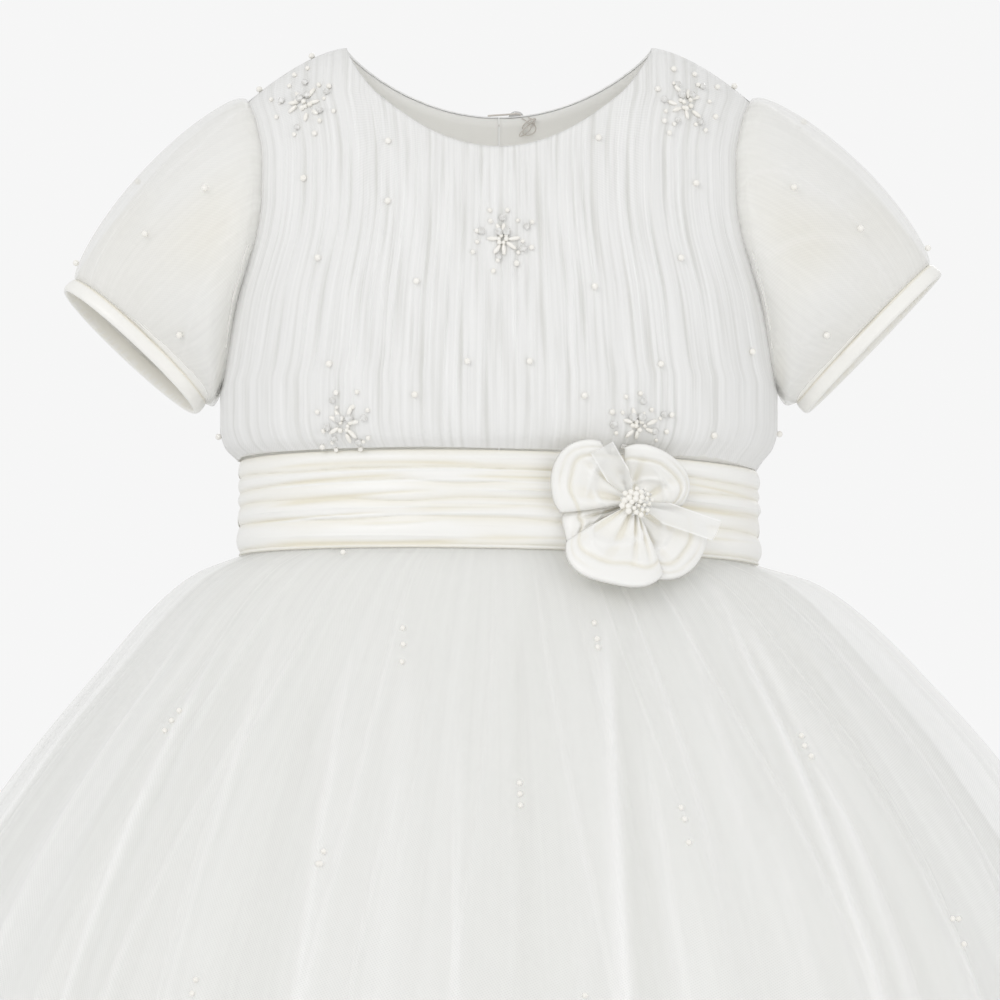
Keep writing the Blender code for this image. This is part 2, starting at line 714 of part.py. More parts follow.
def rose_centre():
    """The gathered core that holds the petals' roots to the sash, and its domed bead base."""
    dome = ((0.0, 1.0), (0.35, 0.96), (0.72, 0.72), (0.95, 0.40))
    rings = [(ROSE_CORE_FOOT, PETAL_ROOT - SEAM), (ROSE_CENTRE_LIFT, PETAL_ROOT - SEAM)]
    rings += [(ROSE_CENTRE_LIFT + ROSE_CENTRE_HEIGHT * up, ROSE_CENTRE_RADIUS * wide) for up, wide in dome]
    count = 14
    turn = np.arange(count) * 2 * math.pi / count
    points = []
    for height, radius in rings:
        points.extend(rose_point(turn, np.full(count, radius), np.full(count, height)).tolist())
    faces = []
    ids = np.arange(len(rings) * count).reshape(len(rings), count)
    grid_faces(faces, np.concatenate((ids, ids[:, :1]), axis=1))
    faces.append(ids[0].tolist())
    faces.append(ids[-1].tolist()[::-1])
    add_piece("rosette_centre", points, faces, "pearl")


def back_surface(x, z):
    """The outer face of the back panel and its outward direction, near the centre."""
    depth = float(body_depth(np.array(x), np.array(z), True))
    small = 1e-4
    side = float(body_depth(np.array(x + small), np.array(z), True))
    lower = float(body_depth(np.array(x), np.array(z - small), True))
    out = np.array(((depth - side) / small, 1.0, (lower - depth) / small))
    return np.array((x, depth, z)), out / np.linalg.norm(out)


def button():
    """A small round button on a short shank, at the top of the back opening."""
    # Columns: radius, height off the cloth
    section = (
        (0.0012, BUTTON_SEAT),
        (0.0012, BUTTON_SEAT + BUTTON_SHANK),
        (BUTTON_RADIUS - 0.0006, BUTTON_SEAT + BUTTON_SHANK),
        (BUTTON_RADIUS, BUTTON_SEAT + BUTTON_SHANK + 0.0008),
        (BUTTON_RADIUS - 0.0006, BUTTON_SEAT + BUTTON_SHANK + 0.0018),
    )
    middle, out = back_surface(BUTTON_X, BUTTON_Z)
    side = np.cross(out, (0.0, 0.0, 1.0))
    side /= np.linalg.norm(side)
    up = np.cross(side, out)
    count = 16
    points = []
    for radius, height in section:
        for step in range(count):
            turn = 2 * math.pi * step / count
            ring = side * math.cos(turn) + up * math.sin(turn)
            points.append((middle + out * height + ring * radius).tolist())
    ids = np.arange(len(section) * count).reshape(len(section), count)
    faces = []
    grid_faces(faces, np.concatenate((ids, ids[:, :1]), axis=1))
    faces.append(ids[0].tolist())
    faces.append(ids[-1].tolist()[::-1])
    add_piece("back_button", points, faces, "clear")


def button_loop():
    """A thread loop from the other side of the opening, round the button's shank."""
    path = []
    for x, rise in ((-0.0055, -0.0020), (-0.0020, -0.0026)):
        path.append((x, BUTTON_Z + rise))
    for step in range(9):
        turn = math.radians(-112.0 + step * 224.0 / 8)
        path.append((BUTTON_X + LOOP_RADIUS * math.cos(turn), BUTTON_Z + LOOP_RADIUS * math.sin(turn)))
    for x, rise in ((-0.0020, 0.0026), (-0.0055, 0.0020)):
        path.append((x, BUTTON_Z + rise))
    centres = []
    outs = []
    for x, z in path:
        point, out = back_surface(x, z)
        centres.append(point + out * (BUTTON_SEAT + LOOP_CORD))
        outs.append(out)
    sides = 5
    points = []
    for number, centre in enumerate(centres):
        ahead = centres[min(number + 1, len(centres) - 1)] - centres[max(number - 1, 0)]
        ahead /= np.linalg.norm(ahead)
        out = outs[number] - ahead * np.dot(outs[number], ahead)
        out /= np.linalg.norm(out)
        aside = np.cross(ahead, out)
        for step in range(sides):
            turn = 2 * math.pi * step / sides
            points.append((centre + (out * math.cos(turn) + aside * math.sin(turn)) * LOOP_CORD).tolist())
    ids = np.arange(len(path) * sides).reshape(len(path), sides)
    faces = []
    grid_faces(faces, np.concatenate((ids, ids[:, :1]), axis=1))
    faces.append(ids[0].tolist())
    faces.append(ids[-1].tolist()[::-1])
    add_piece("button_loop", points, faces, "clear")


def bodice():
    """Front and two backs, parted at the shoulder and side seams and at the centre back."""
    gap = SEAM / 2 / SHOULDER_TIP_X
    bodice_panel("bodice_front", -1.0, 1.0, FRONT_GATHERS, 0.7, False)
    bodice_panel("bodice_back_right", -1.0, -gap, BACK_GATHERS, 1.9, True)
    bodice_panel("bodice_back_left", gap, 1.0, BACK_GATHERS, 2.6, True)


def sashes():
    """The sash in front, and its two halves behind."""
    sash("sash_front", math.pi, 2 * math.pi, 30, 0.4)
    sash("sash_back_left", 0.0, math.pi / 2, 14, 1.7)
    sash("sash_back_right", math.pi / 2, math.pi, 14, 2.9)


def skirts():
    """Outer tulle, under tulle and lining, each in a front and a back."""
    halves = (("front", math.pi, 2 * math.pi), ("back", 0.0, math.pi))
    for number, (side, start, end) in enumerate(halves):
        skirt_layer("skirt_outer_" + side, OUTER_SKIRT, OUTER_FOLDS, HEM_FOLD, TULLE_WALL,
                    start, end, 0.9 + number, "tulle", billow=1.0)
        skirt_layer("skirt_under_" + side, UNDER_SKIRT, UNDER_FOLDS, UNDER_HEM_FOLD, TULLE_WALL,
                    start, end, 2.2 + number, "tulle")
        skirt_layer("skirt_lining_" + side, LINING, 0, 0.0, LINING_WALL,
                    start, end, 0.0, "lining")


def rosette():
    """Petals, ribbon ends and bead base."""
    for row in PETALS:
        petal(*row)
    for row in RIBBONS:
        ribbon(*row)
    rose_centre()


clear_scene()
bodice()
for cuff_row in CUFFS:
    sleeve(cuff_row)
    cuff(cuff_row)
sashes()
skirts()
rosette()
button()
button_loop()
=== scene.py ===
"""A small child's party dress of ivory satin and tulle, filled out with no wearer: how it looks.

Metres, +Z up. The front faces -Y and the wearer's right arm is at -X. The sections follow the dress
as it is put together: studio, bodice, sleeves, cuffs, skirt, sash, rosette, beads and back fastening.
"""
import math

import bpy
import bmesh
import numpy as np
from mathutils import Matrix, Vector


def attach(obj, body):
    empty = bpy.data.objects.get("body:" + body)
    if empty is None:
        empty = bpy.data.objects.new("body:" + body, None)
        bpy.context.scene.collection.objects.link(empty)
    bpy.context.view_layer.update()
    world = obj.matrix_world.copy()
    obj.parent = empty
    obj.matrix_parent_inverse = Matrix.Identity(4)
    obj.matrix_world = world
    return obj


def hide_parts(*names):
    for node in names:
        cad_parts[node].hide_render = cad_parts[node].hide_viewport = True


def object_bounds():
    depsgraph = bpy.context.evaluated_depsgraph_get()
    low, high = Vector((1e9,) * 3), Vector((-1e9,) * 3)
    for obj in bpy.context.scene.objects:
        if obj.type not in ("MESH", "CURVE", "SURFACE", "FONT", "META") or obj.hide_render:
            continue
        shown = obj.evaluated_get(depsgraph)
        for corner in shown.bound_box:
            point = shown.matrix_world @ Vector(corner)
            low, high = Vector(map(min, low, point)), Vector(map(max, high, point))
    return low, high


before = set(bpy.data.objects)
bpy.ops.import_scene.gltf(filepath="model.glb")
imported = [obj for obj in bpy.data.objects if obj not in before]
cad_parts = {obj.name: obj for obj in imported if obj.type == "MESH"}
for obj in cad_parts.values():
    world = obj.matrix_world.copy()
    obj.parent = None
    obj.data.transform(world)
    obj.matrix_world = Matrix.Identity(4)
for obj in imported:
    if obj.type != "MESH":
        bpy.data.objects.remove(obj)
cad_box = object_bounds()

# Studio. The dress is photographed from the front and a little below its middle, in high soft light
# before a plain pale sweep. The floor is where a child of this size would stand.
CAMERA_PLACE = (0.0005, -2.4000, -0.4200)
CAMERA_AIM = (0.0005, 0.0, -0.2190)
PICTURE_WIDTH = 0.480
SENSOR_MM = 36.0
PICTURE_PIXELS = 1000
FLOOR_Z = -0.820
FLOOR_RADIUS = 3.0
SWEEP_SEEN = 0.923
AIR_LIGHT = 0.76
LIGHT_AIM = (0.0, 0.0, -0.3)

studio = bpy.context.scene
studio.view_settings.view_transform = "Standard"
# Enough bounces for light to pass through the stacked nets and between the pale folds
studio.cycles.transparent_max_bounces = 16
studio.cycles.max_bounces = 10
studio.cycles.diffuse_bounces = 6


def in_studio(name, data):
    """A new object in the scene, with its data."""
    thing = bpy.data.objects.new(name, data)
    studio.collection.objects.link(thing)
    return thing


camera_data = bpy.data.cameras.new("studio_camera")
camera = in_studio("studio_camera", camera_data)
camera.location = CAMERA_PLACE
looking = Vector(CAMERA_AIM) - Vector(CAMERA_PLACE)
camera.rotation_euler = looking.to_track_quat("-Z", "Y").to_euler()
camera_data.sensor_width = SENSOR_MM
camera_data.lens = SENSOR_MM * looking.length / PICTURE_WIDTH
studio.camera = camera


def studio_air():
    """Even white light from all round, seen by the camera as the pale sweep."""
    air = bpy.data.worlds.new("studio_air")
    air.use_nodes = True
    nodes = air.node_tree.nodes
    links = air.node_tree.links
    lit = nodes["Background"]
    lit.inputs["Color"].default_value = (1.0, 1.0, 1.0, 1.0)
    lit.inputs["Strength"].default_value = AIR_LIGHT
    seen = nodes.new("ShaderNodeBackground")
    seen.inputs["Color"].default_value = (SWEEP_SEEN, SWEEP_SEEN, SWEEP_SEEN, 1.0)
    rays = nodes.new("ShaderNodeLightPath")
    chosen = nodes.new("ShaderNodeMixShader")
    links.new(rays.outputs["Is Camera Ray"], chosen.inputs[0])
    links.new(lit.outputs[0], chosen.inputs[1])
    links.new(seen.outputs[0], chosen.inputs[2])
    links.new(chosen.outputs[0], nodes["World Output"].inputs["Surface"])
    return air


def softbox(name, place, size, watts):
    """A square soft light aimed at the middle of the dress."""
    lamp = bpy.data.lights.new(name, "AREA")
    lamp.shape = "SQUARE"
    lamp.size = size
    lamp.energy = watts
    box = in_studio(name, lamp)
    box.location = place
    box.rotation_euler = (Vector(LIGHT_AIM) - Vector(place)).to_track_quat("-Z", "Y").to_euler()


def add_node(material, kind, inputs=(), **settings):
    """A shader node with its settings, and its inputs as pairs of a name and a value or a link."""
    node = material.node_tree.nodes.new("ShaderNode" + kind)
    for key, value in settings.items():
        setattr(node, key, value)
    for key, value in inputs:
        if isinstance(value, bpy.types.NodeSocket):
            material.node_tree.links.new(value, node.inputs[key])
        else:
            node.inputs[key].default_value = value
    return node


def new_finish(name, colour, roughness, **sockets):
    """A material with its shader's constant values set, and that shader."""
    material = bpy.data.materials.new(name)
    material.use_nodes = True
    shader = material.node_tree.nodes["Principled BSDF"]
    shader.inputs["Base Color"].default_value = (*colour, 1.0)
    shader.inputs["Roughness"].default_value = roughness
    for key, value in sockets.items():
        shader.inputs[key.replace("_", " ")].default_value = value
    return material, shader


def link(material, output, target):
    """Join one shader socket to another."""
    material.node_tree.links.new(output, target)


def mottle(material, scale):
    """Soft uneven patches, on the piece's own object coordinates."""
    place = add_node(material, "TexCoord")
    patches = add_node(material, "TexNoise", [("Vector", place.outputs["Object"]), ("Scale", scale)])
    return patches.outputs[0]


def two_tone(material, shader, amount, low, high):
    """Lead a colour to the shader that runs from low to high with an amount from 0 to 1."""
    tint = add_node(material, "ValToRGB", [("Fac", amount)])
    tint.color_ramp.elements[0].color = (*low, 1.0)
    tint.color_ramp.elements[1].color = (*high, 1.0)
    link(material, tint.outputs[0], shader.inputs["Base Color"])
    return tint.color_ramp


def pale_floor():
    """Matt pale board with a barely seen mottle."""
    material, shader = new_finish("pale_floor", (0.90, 0.90, 0.90), 0.9)
    two_tone(material, shader, mottle(material, 3.0), (0.90, 0.90, 0.90), (0.93, 0.93, 0.93))
    return material


studio.world = studio_air()
softbox("key_light", (-1.7, -2.1, 1.3), 1.6, 10.5)
softbox("strip_light", (-1.1, -2.2, 1.1), 0.45, 5.0)
softbox("fill_light", (1.5, -2.1, -0.16), 1.2, 7.0)
softbox("back_light", (0.6, 2.3, 1.2), 1.6, 10.0)

# Thin cloth lets the light through, so weak lamps stand in for the glow inside neck and sleeves.
# Columns: name, place, watts, lamp radius
INNER_GLOWS = (
    ("neck_glow", (0.0, -0.005, -0.115), 0.032, 0.045),
    ("sleeve_right_glow", (-0.168, 0.0, -0.130), 0.0012, 0.010),
    ("sleeve_left_glow", (0.172, 0.0, -0.126), 0.0012, 0.010),
)
for name, place, watts, radius in INNER_GLOWS:
    lamp = bpy.data.lights.new(name, "POINT")
    lamp.energy = watts
    lamp.shadow_soft_size = radius
    in_studio(name, lamp).location = place

bpy.ops.mesh.primitive_circle_add(vertices=96, radius=FLOOR_RADIUS, fill_type="NGON",
                                  location=(0.0, 0.0, FLOOR_Z))
floor = bpy.context.object
floor.name = "studio_floor"
floor.data.materials.append(pale_floor())

# Bodice. A fitted satin front and two satin backs, each under a layer of fine tulle that is gathered
# by hand from neck to waist and sewn down round its edge. The neckline is turned in plainly.
SEAM = 0.0003
NECK_HALF = 0.0737
SHOULDER_TIP_X = 0.1219
SHOULDER_TIP_DROP = 0.0269
SHOULDER_BOW = 1.55
FRONT_NECK_DROP = 0.0562
FRONT_NECK_ROUND = 0.72
BACK_NECK_DROP = 0.0272
BACK_NECK_ROUND = 0.93
SHOULDER_ROLL = 0.090
OVAL = 2.2
UNDERARM_Z = -0.1660
SIDE_SHARE = 0.185
SASH_HALF = 0.1235
SASH_FRONT = 0.0665
SASH_BACK = 0.0600
SASH_TOP_Z = -0.2012
SASH_TOP_RISE = 0.0024
SASH_TOP_LEAN = 0.0027
# Columns: height, half width of the panel's side edge
SIDE_EDGE = (
    (-0.2070, 0.1240),
    (-0.2010, 0.1262),
    (-0.1940, 0.1312),
    (-0.1850, 0.1335),
    (-0.1660, 0.1335),
    (-0.1600, 0.1316),
    (-0.1260, 0.1255),
    (-0.1080, 0.1200),
    (-0.0950, 0.1162),
    (-0.0780, 0.1140),
    (-0.0590, 0.1140),
    (-0.0400, 0.1172),
    (-0.0269, 0.1219),
)
# Columns: height, half width of the whole body there, depth in front, depth behind
BODY = (
    (-0.2070, 0.1240, 0.0672, 0.0608),
    (-0.2010, 0.1262, 0.0690, 0.0622),
    (-0.1940, 0.1312, 0.0728, 0.0648),
    (-0.1850, 0.1335, 0.0742, 0.0656),
    (-0.1660, 0.1335, 0.0740, 0.0650),
    (-0.1300, 0.1335, 0.0715, 0.0632),
    (-0.0900, 0.1335, 0.0662, 0.0600),
    (-0.0500, 0.1335, 0.0585, 0.0560),
    (0.0000, 0.1335, 0.0540, 0.0520),
)
SATIN_SET_IN = 0.0005
SATIN_WALL = 0.0008
TULLE_LIFT = 0.0003
TURN_UNDER = 0.0013
GATHER_DEPTH = 0.00085
CREASE_DEPTH = 0.00042
NECK_CALM = 0.05
FOOT_TURN = 0.045
SIDE_CALM = 0.70
SLEEVE_EDGE = 0.955
SLEEVE_EDGE_IN = 0.0002
# The tulle's last three rows turn over the neckline: how far each stands off the body
NECK_TURN = (0.0002, -0.0004, -0.0012)
# Columns: name, start and end across from -1 to 1, main gathers, fine creases, columns, seed, behind
PANELS = (
    ("bodice_front", -1.0, 1.0, 42, 150, 760, 0.7, False),
    ("bodice_back_right", -1.0, -0.0012, 16, 75, 380, 1.9, True),
    ("bodice_back_left", 0.0012, 1.0, 16, 75, 380, 2.6, True),
)
PANEL_ROWS = 84


def unit(value):
    """A value held between 0 and 1."""
    return np.clip(value, 0.0, 1.0)


def rise(value, run):
    """A straight rise from 0 to 1 while the value goes through a run, level before and after."""
    return unit(value / run)


def smooth_table(table, column, at):
    """A value read from a table's rows: cubic between rows, its slope their harmonic mean."""
    rows = np.array([row[0] for row in table])
    values = np.array([row[column] for row in table])
    at = np.clip(np.asarray(at, dtype=float), rows[0], rows[-1])
    step = np.diff(rows)
    slope = np.diff(values) / step
    lean = np.zeros(len(rows))
    lean[0] = slope[0]
    lean[-1] = slope[-1]
    same = slope[:-1] * slope[1:] > 0.0
    total = np.where(same, slope[:-1] + slope[1:], 1.0)
    lean[1:-1] = np.where(same, 2.0 * slope[:-1] * slope[1:] / total, 0.0)
    place = np.clip(np.searchsorted(rows, at, side="right") - 1, 0, len(step) - 1)
    t = (at - rows[place]) / step[place]
    near = values[place] * (1 + 2 * t) * (1 - t) ** 2 + values[place + 1] * t * t * (3 - 2 * t)
    bend = lean[place] * t * (1 - t) ** 2 + lean[place + 1] * t * t * (t - 1)
    return near + bend * step[place]


def shoulder_z(x):
    """Height of the shoulder seam: it falls as a power of the way from neck to tip."""
    run = np.clip((np.abs(x) - NECK_HALF) / (SHOULDER_TIP_X - NECK_HALF), 0.0, 1.2)
    return -SHOULDER_TIP_DROP * run ** SHOULDER_BOW


def neck_z(x, behind):
    """Height of the neckline: a flattened or deepened half ellipse across the neck."""
    drop = BACK_NECK_DROP if behind else FRONT_NECK_DROP
    roundness = BACK_NECK_ROUND if behind else FRONT_NECK_ROUND
    inside = unit(1.0 - (np.abs(x) / NECK_HALF) ** 2)
    return -drop * inside ** roundness


def sash_top(x):
    """Height of the sash's top edge: a shallow arch that leans to the wearer's left."""
    share = x / (SASH_HALF + 0.0015)
    return SASH_TOP_Z - SASH_TOP_RISE * share ** 2 - SASH_TOP_LEAN * share


def body_depth(x, z, behind):
    """Depth of the body at x and z: an oval across, times a quarter circle over the shoulder."""
    half = smooth_table(BODY, 1, z)
    depth = smooth_table(BODY, 3 if behind else 2, z)
    across = unit(1.0 - (np.abs(x) / half) ** OVAL) ** (1.0 / OVAL)
    down = rise(shoulder_z(x) - z, SHOULDER_ROLL)
    return depth * across * np.sqrt(1.0 - (1.0 - down) ** 2)


def body_out(x, z, behind):
    """The direction straight out of the body's surface, from how its depth changes nearby."""
    small = 1e-5
    toward = np.where(x > 0, small, -small)
    depth = body_depth(x, z, behind)
    slope_x = (depth - body_depth(x - toward, z, behind)) / toward
    slope_z = (depth - body_depth(x, z - small, behind)) / small
    facing = np.full_like(depth, 1.0 if behind else -1.0)
    out = np.stack((-slope_x, facing, -slope_z), axis=-1)
    return direction_of(out)


def panel_surface(s, share, relief, behind):
    """A bodice panel: s runs across from -1 to 1 and share up from waist to neck, moved out by relief."""
    foot = sash_top(s * SASH_HALF) + SEAM
    top_x = s * SHOULDER_TIP_X
    top = np.where(np.abs(top_x) < NECK_HALF, neck_z(top_x, behind), shoulder_z(top_x))
    low = foot + (UNDERARM_Z - foot) * share / SIDE_SHARE
    high = UNDERARM_Z + (top - UNDERARM_Z) * (share - SIDE_SHARE) / (1.0 - SIDE_SHARE)
    z = np.where(share < SIDE_SHARE, low, high)
    x = s * smooth_table(SIDE_EDGE, 1, z)
    depth = body_depth(x, z, behind)
    point = np.stack((x, depth if behind else -depth, z), axis=-1)
    point = point + body_out(x, z, behind) * relief[..., None]
    point[..., 1] = seam_side(point[..., 1], 1.0 if behind else -1.0)
    return point


def direction_of(vectors):
    """Vectors brought to length 1."""
    return vectors / np.linalg.norm(vectors, axis=-1, keepdims=True)


def seam_side(values, side):
    """Values kept on the side of 0 that the sign tells, half a seam's width from it."""
    return side * np.maximum(side * values, SEAM / 2)


def full_turn(count):
    """Angles spread evenly round a full turn, from 0 on."""
    return np.arange(count) * 2 * math.pi / count


def uneven(count, seed, spread=0.35):
    """Steps from 0 to 1 in count uneven shares, worked out from sines of the step's number."""
    order = np.arange(count)
    share = 1.0 + spread * np.sin(2.4 * order + seed) + 0.5 * spread * np.sin(5.1 * order + 2.0 * seed)
    return np.concatenate(([0.0], np.cumsum(share))) / share.sum()


def unlike(count, seed, low=0.45):
    """A height between low and 1 for each fold, worked out from sines of its number."""
    order = np.arange(count)
    wave = 0.5 + 0.3 * np.sin(1.7 * order + seed) + 0.2 * np.sin(4.3 * order + 1.3 * seed)
    return low + (1.0 - low) * wave


def main_gathers(across, count, seed, low=0.45, spread=0.35, broad=1.0):
    """Ridges side by side from 0 to 1: uneven steps, each pair a cosine up to its own height.

    The cosine is raised to the power broad: under 1 the ridges are broad and the valleys narrow.
    """
    steps = uneven(2 * count, seed, spread)
    crest = np.zeros(2 * count + 1)
    crest[1::2] = unlike(count, seed, low)
    place = np.clip(np.searchsorted(steps, across, side="right") - 1, 0, 2 * count - 1)
    t = (across - steps[place]) / (steps[place + 1] - steps[place])
    ease = 0.5 - 0.5 * np.cos(math.pi * unit(t))
    rising = crest[place + 1] > crest[place]
    share = np.where(rising, ease, 1.0 - ease) ** broad
    return np.maximum(crest[place], crest[place + 1]) * share


def fine_creases(across, down, count, dice, width, wander, shortest=0.25):
    """Thin creases, each a sharp-topped ridge round a slightly wandering line, fading at its ends.

    Each adds height / (1 + (distance / width) ** 2) ** 1.5, times a soft window along its length.
    """
    total = np.zeros(np.broadcast(across, down).shape)
    middles = (np.arange(count) + dice.uniform(0.0, 1.0, count)) / count
    for middle in middles:
        height = dice.uniform(0.25, 1.0) ** 1.5
        wide = width * dice.uniform(0.6, 1.7)
        length = dice.uniform(shortest, 1.1)
        start = dice.uniform(-0.15, max(0.0, 1.1 - length))
        sway = wander * np.sin(dice.uniform(2.0, 7.0) * down + dice.uniform(0.0, 6.3))
        drift = dice.uniform(-1.5, 1.5) * wander * down
        distance = (across - middle - sway - drift) / wide
        inside = rise(down - start, 0.12) * rise(start + length - down, 0.16)
        total += height * inside / (1.0 + distance ** 2) ** 1.5
    return total


def run_uv(grid, closed):
    """Cloth coordinates in metres: the mean run across the rows, and the mean run down the columns."""
    if closed:
        grid = np.concatenate((grid, grid[:, :1]), axis=1)
    across = np.linalg.norm(np.diff(grid, axis=1), axis=-1).mean(axis=0)
    down = np.linalg.norm(np.diff(grid, axis=0), axis=-1).mean(axis=1)
    u = np.concatenate(([0.0], np.cumsum(across)))
    v = np.concatenate(([0.0], np.cumsum(down)))
    return np.stack(np.meshgrid(u, v), axis=-1)


def cloth_mesh(name, grid, material, marks=(), closed=False, flip=False):
    """A smooth sheet of quads over a grid of points (rows, columns, 3), with its own UV in metres.

    A closed sheet joins its last column to its first, and its UV then has one column more.
    """
    uv = run_uv(grid, closed)
    rows, columns = grid.shape[:2]
    ids = np.arange(rows * columns).reshape(rows, columns)
    if closed:
        ids = np.concatenate((ids, ids[:, :1]), axis=1)
    corners = (slice(None, -1), slice(None, -1)), (slice(None, -1), slice(1, None)), \
              (slice(1, None), slice(1, None)), (slice(1, None), slice(None, -1))
    if flip:
        corners = corners[::-1]
    quads = np.stack([ids[corner] for corner in corners], axis=-1).reshape(-1, 4)
    corner_uv = np.stack([uv[corner] for corner in corners], axis=2).reshape(-1)
    mesh = bpy.data.meshes.new(name)
    mesh.from_pydata(grid.reshape(-1, 3).tolist(), [], quads.tolist())
    mesh.uv_layers.new(name="cloth").data.foreach_set("uv", corner_uv.astype(np.float32))
    for mark, values in marks:
        layer = mesh.attributes.new(mark, "FLOAT", "POINT")
        spread = np.broadcast_to(values, (rows, columns)).reshape(-1)
        layer.data.foreach_set("value", spread.astype(np.float32))
    mesh.shade_smooth()
    mesh.materials.append(material)
    return in_studio(name, mesh)


def belongs(piece, node=None):
    """Tie a piece to the dress's one body and the solid that it replaces."""
    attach(piece, "root")
    if node:
        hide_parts(node)


def thicken(piece, wall):
    """Give a sheet its thickness, on its inner side."""
    solid = piece.modifiers.new("thickness", "SOLIDIFY")
    solid.thickness = wall
    solid.offset = -1.0
    solid.use_even_offset = False


def crossed_waves(material, scale, distortion, detail, turn=0.0):
    """Two sets of waves at right angles on the cloth's own directions, turned by an angle."""
    cloth = add_node(material, "UVMap", uv_map="cloth")
    lie = add_node(material, "Mapping", [
        ("Vector", cloth.outputs[0]), ("Rotation", (0.0, 0.0, math.radians(turn)))])
    waves = [add_node(material, "TexWave", [
        ("Vector", lie.outputs[0]), ("Scale", scale), ("Distortion", distortion), ("Detail", detail)],
        bands_direction=direction) for direction in ("X", "Y")]
    return waves[0].outputs["Fac"], waves[1].outputs["Fac"]


def maths(material, operation, first, second, clamp=False):
    """The result of a sum, a product or the like of two shader values."""
    node = add_node(material, "Math", [(0, first), (1, second)], operation=operation, use_clamp=clamp)
    return node.outputs[0]


def mapped(material, value, low, high, start=0.0, end=1.0):
    """A shader value moved from the range start to end into the range low to high."""
    node = add_node(material, "MapRange", [(0, value), (1, start), (2, end), (3, low), (4, high)])
    return node.outputs[0]


def weave_bump(material, shader, pitch, strength, distance):
    """A fine plain weave: two crossed waves along the cloth's own directions, as a bump."""
    crossed = maths(material, "ADD", *crossed_waves(material, 0.314 / pitch, 0.4, 0.0))
    bump = add_node(material, "Bump", [("Height", crossed), ("Strength", strength), ("Distance", distance)])
    link(material, bump.outputs[0], shader.inputs["Normal"])


def blend(material, shader, amount, low, high):
    """Lead a plain mix of two colours to the shader, by an amount from 0 to 1."""
    tint = add_node(material, "Mix", [(0, amount), (6, (*low, 1.0)), (7, (*high, 1.0))], data_type="RGBA")
    link(material, tint.outputs[2], shader.inputs["Base Color"])


def ivory_satin():
    """Ivory satin: a smooth sheen and a soft uneven lustre, with shade painted into its colour: warmer and
    darker down in its folds, by a value kept at each point of the cloth.
    """
    material, shader = new_finish("ivory_satin", (0.90, 0.89, 0.85), 0.42, Sheen_Weight=0.25,
                                  Sheen_Roughness=0.4, Specular_IOR_Level=0.45)
    painted_shade = add_node(material, "Attribute", attribute_name="painted_shade")
    # Painted shade: the colour runs from the satin's own ivory to a warm cream where the cloth is marked as
    # lying in shade
    blend(material, shader, painted_shade.outputs["Fac"], (0.915, 0.91, 0.885), (0.84, 0.80, 0.68))
    link(material, mapped(material, mottle(material, 55.0), 0.26, 0.42), shader.inputs["Roughness"])
    weave_bump(material, shader, 0.0004, 0.12, 0.00005)
    return material


def streaks(material, across, along, depth):
    """The fold value with fine long streaks added, as threads bunch where net is gathered."""
    fold = add_node(material, "Attribute", attribute_name="fold")
    cloth = add_node(material, "UVMap", uv_map="cloth")
    drawn = add_node(material, "Mapping", [("Vector", cloth.outputs[0]), ("Scale", (across, along, 1.0))])
    bunch = add_node(material, "TexNoise", [("Vector", drawn.outputs[0]), ("Scale", 1.0), ("Detail", 3.0)])
    bunched = mapped(material, bunch.outputs[0], -0.5 * depth, 0.5 * depth, 0.3, 0.7)
    return maths(material, "ADD", fold.outputs["Fac"], bunched, clamp=True)


def net_sheerness(material, shader, folded, sheer, dense, net, holes):
    """Lead the net's alpha to the shader: from sheer to dense with its folds, less in its holes."""
    threads = maths(material, "MAXIMUM", *net)
    thick = mapped(material, folded, sheer, dense)
    alpha = maths(material, "MULTIPLY", thick, mapped(material, threads, *holes), clamp=True)
    link(material, alpha, shader.inputs["Alpha"])


def gathered_tulle(name, sheer, dense, bunched):
    """Fine tulle in gathers: denser where a crease doubles it, with painted shade that greys its valleys
    and a painted highlight that whitens its creases.
    """
    material, shader = new_finish(name, (0.95, 0.95, 0.94), 0.75, Sheen_Weight=0.15, Sheen_Roughness=0.5,
                                  Specular_IOR_Level=0.2)
    folded = streaks(material, 430.0, 11.0, bunched)
    # Painted shade and highlight: the tulle's colour runs from warm grey in the gathers' valleys to white
    # on the creases
    ramp = two_tone(material, shader, folded, (0.80, 0.80, 0.775), (0.955, 0.955, 0.95))
    ramp.elements.new(0.38).color = (0.895, 0.895, 0.885, 1.0)
    net = crossed_waves(material, 320.0, 0.6, 1.0, 45.0)
    net_sheerness(material, shader, folded, sheer, dense, net, (0.94, 1.03))
    return material


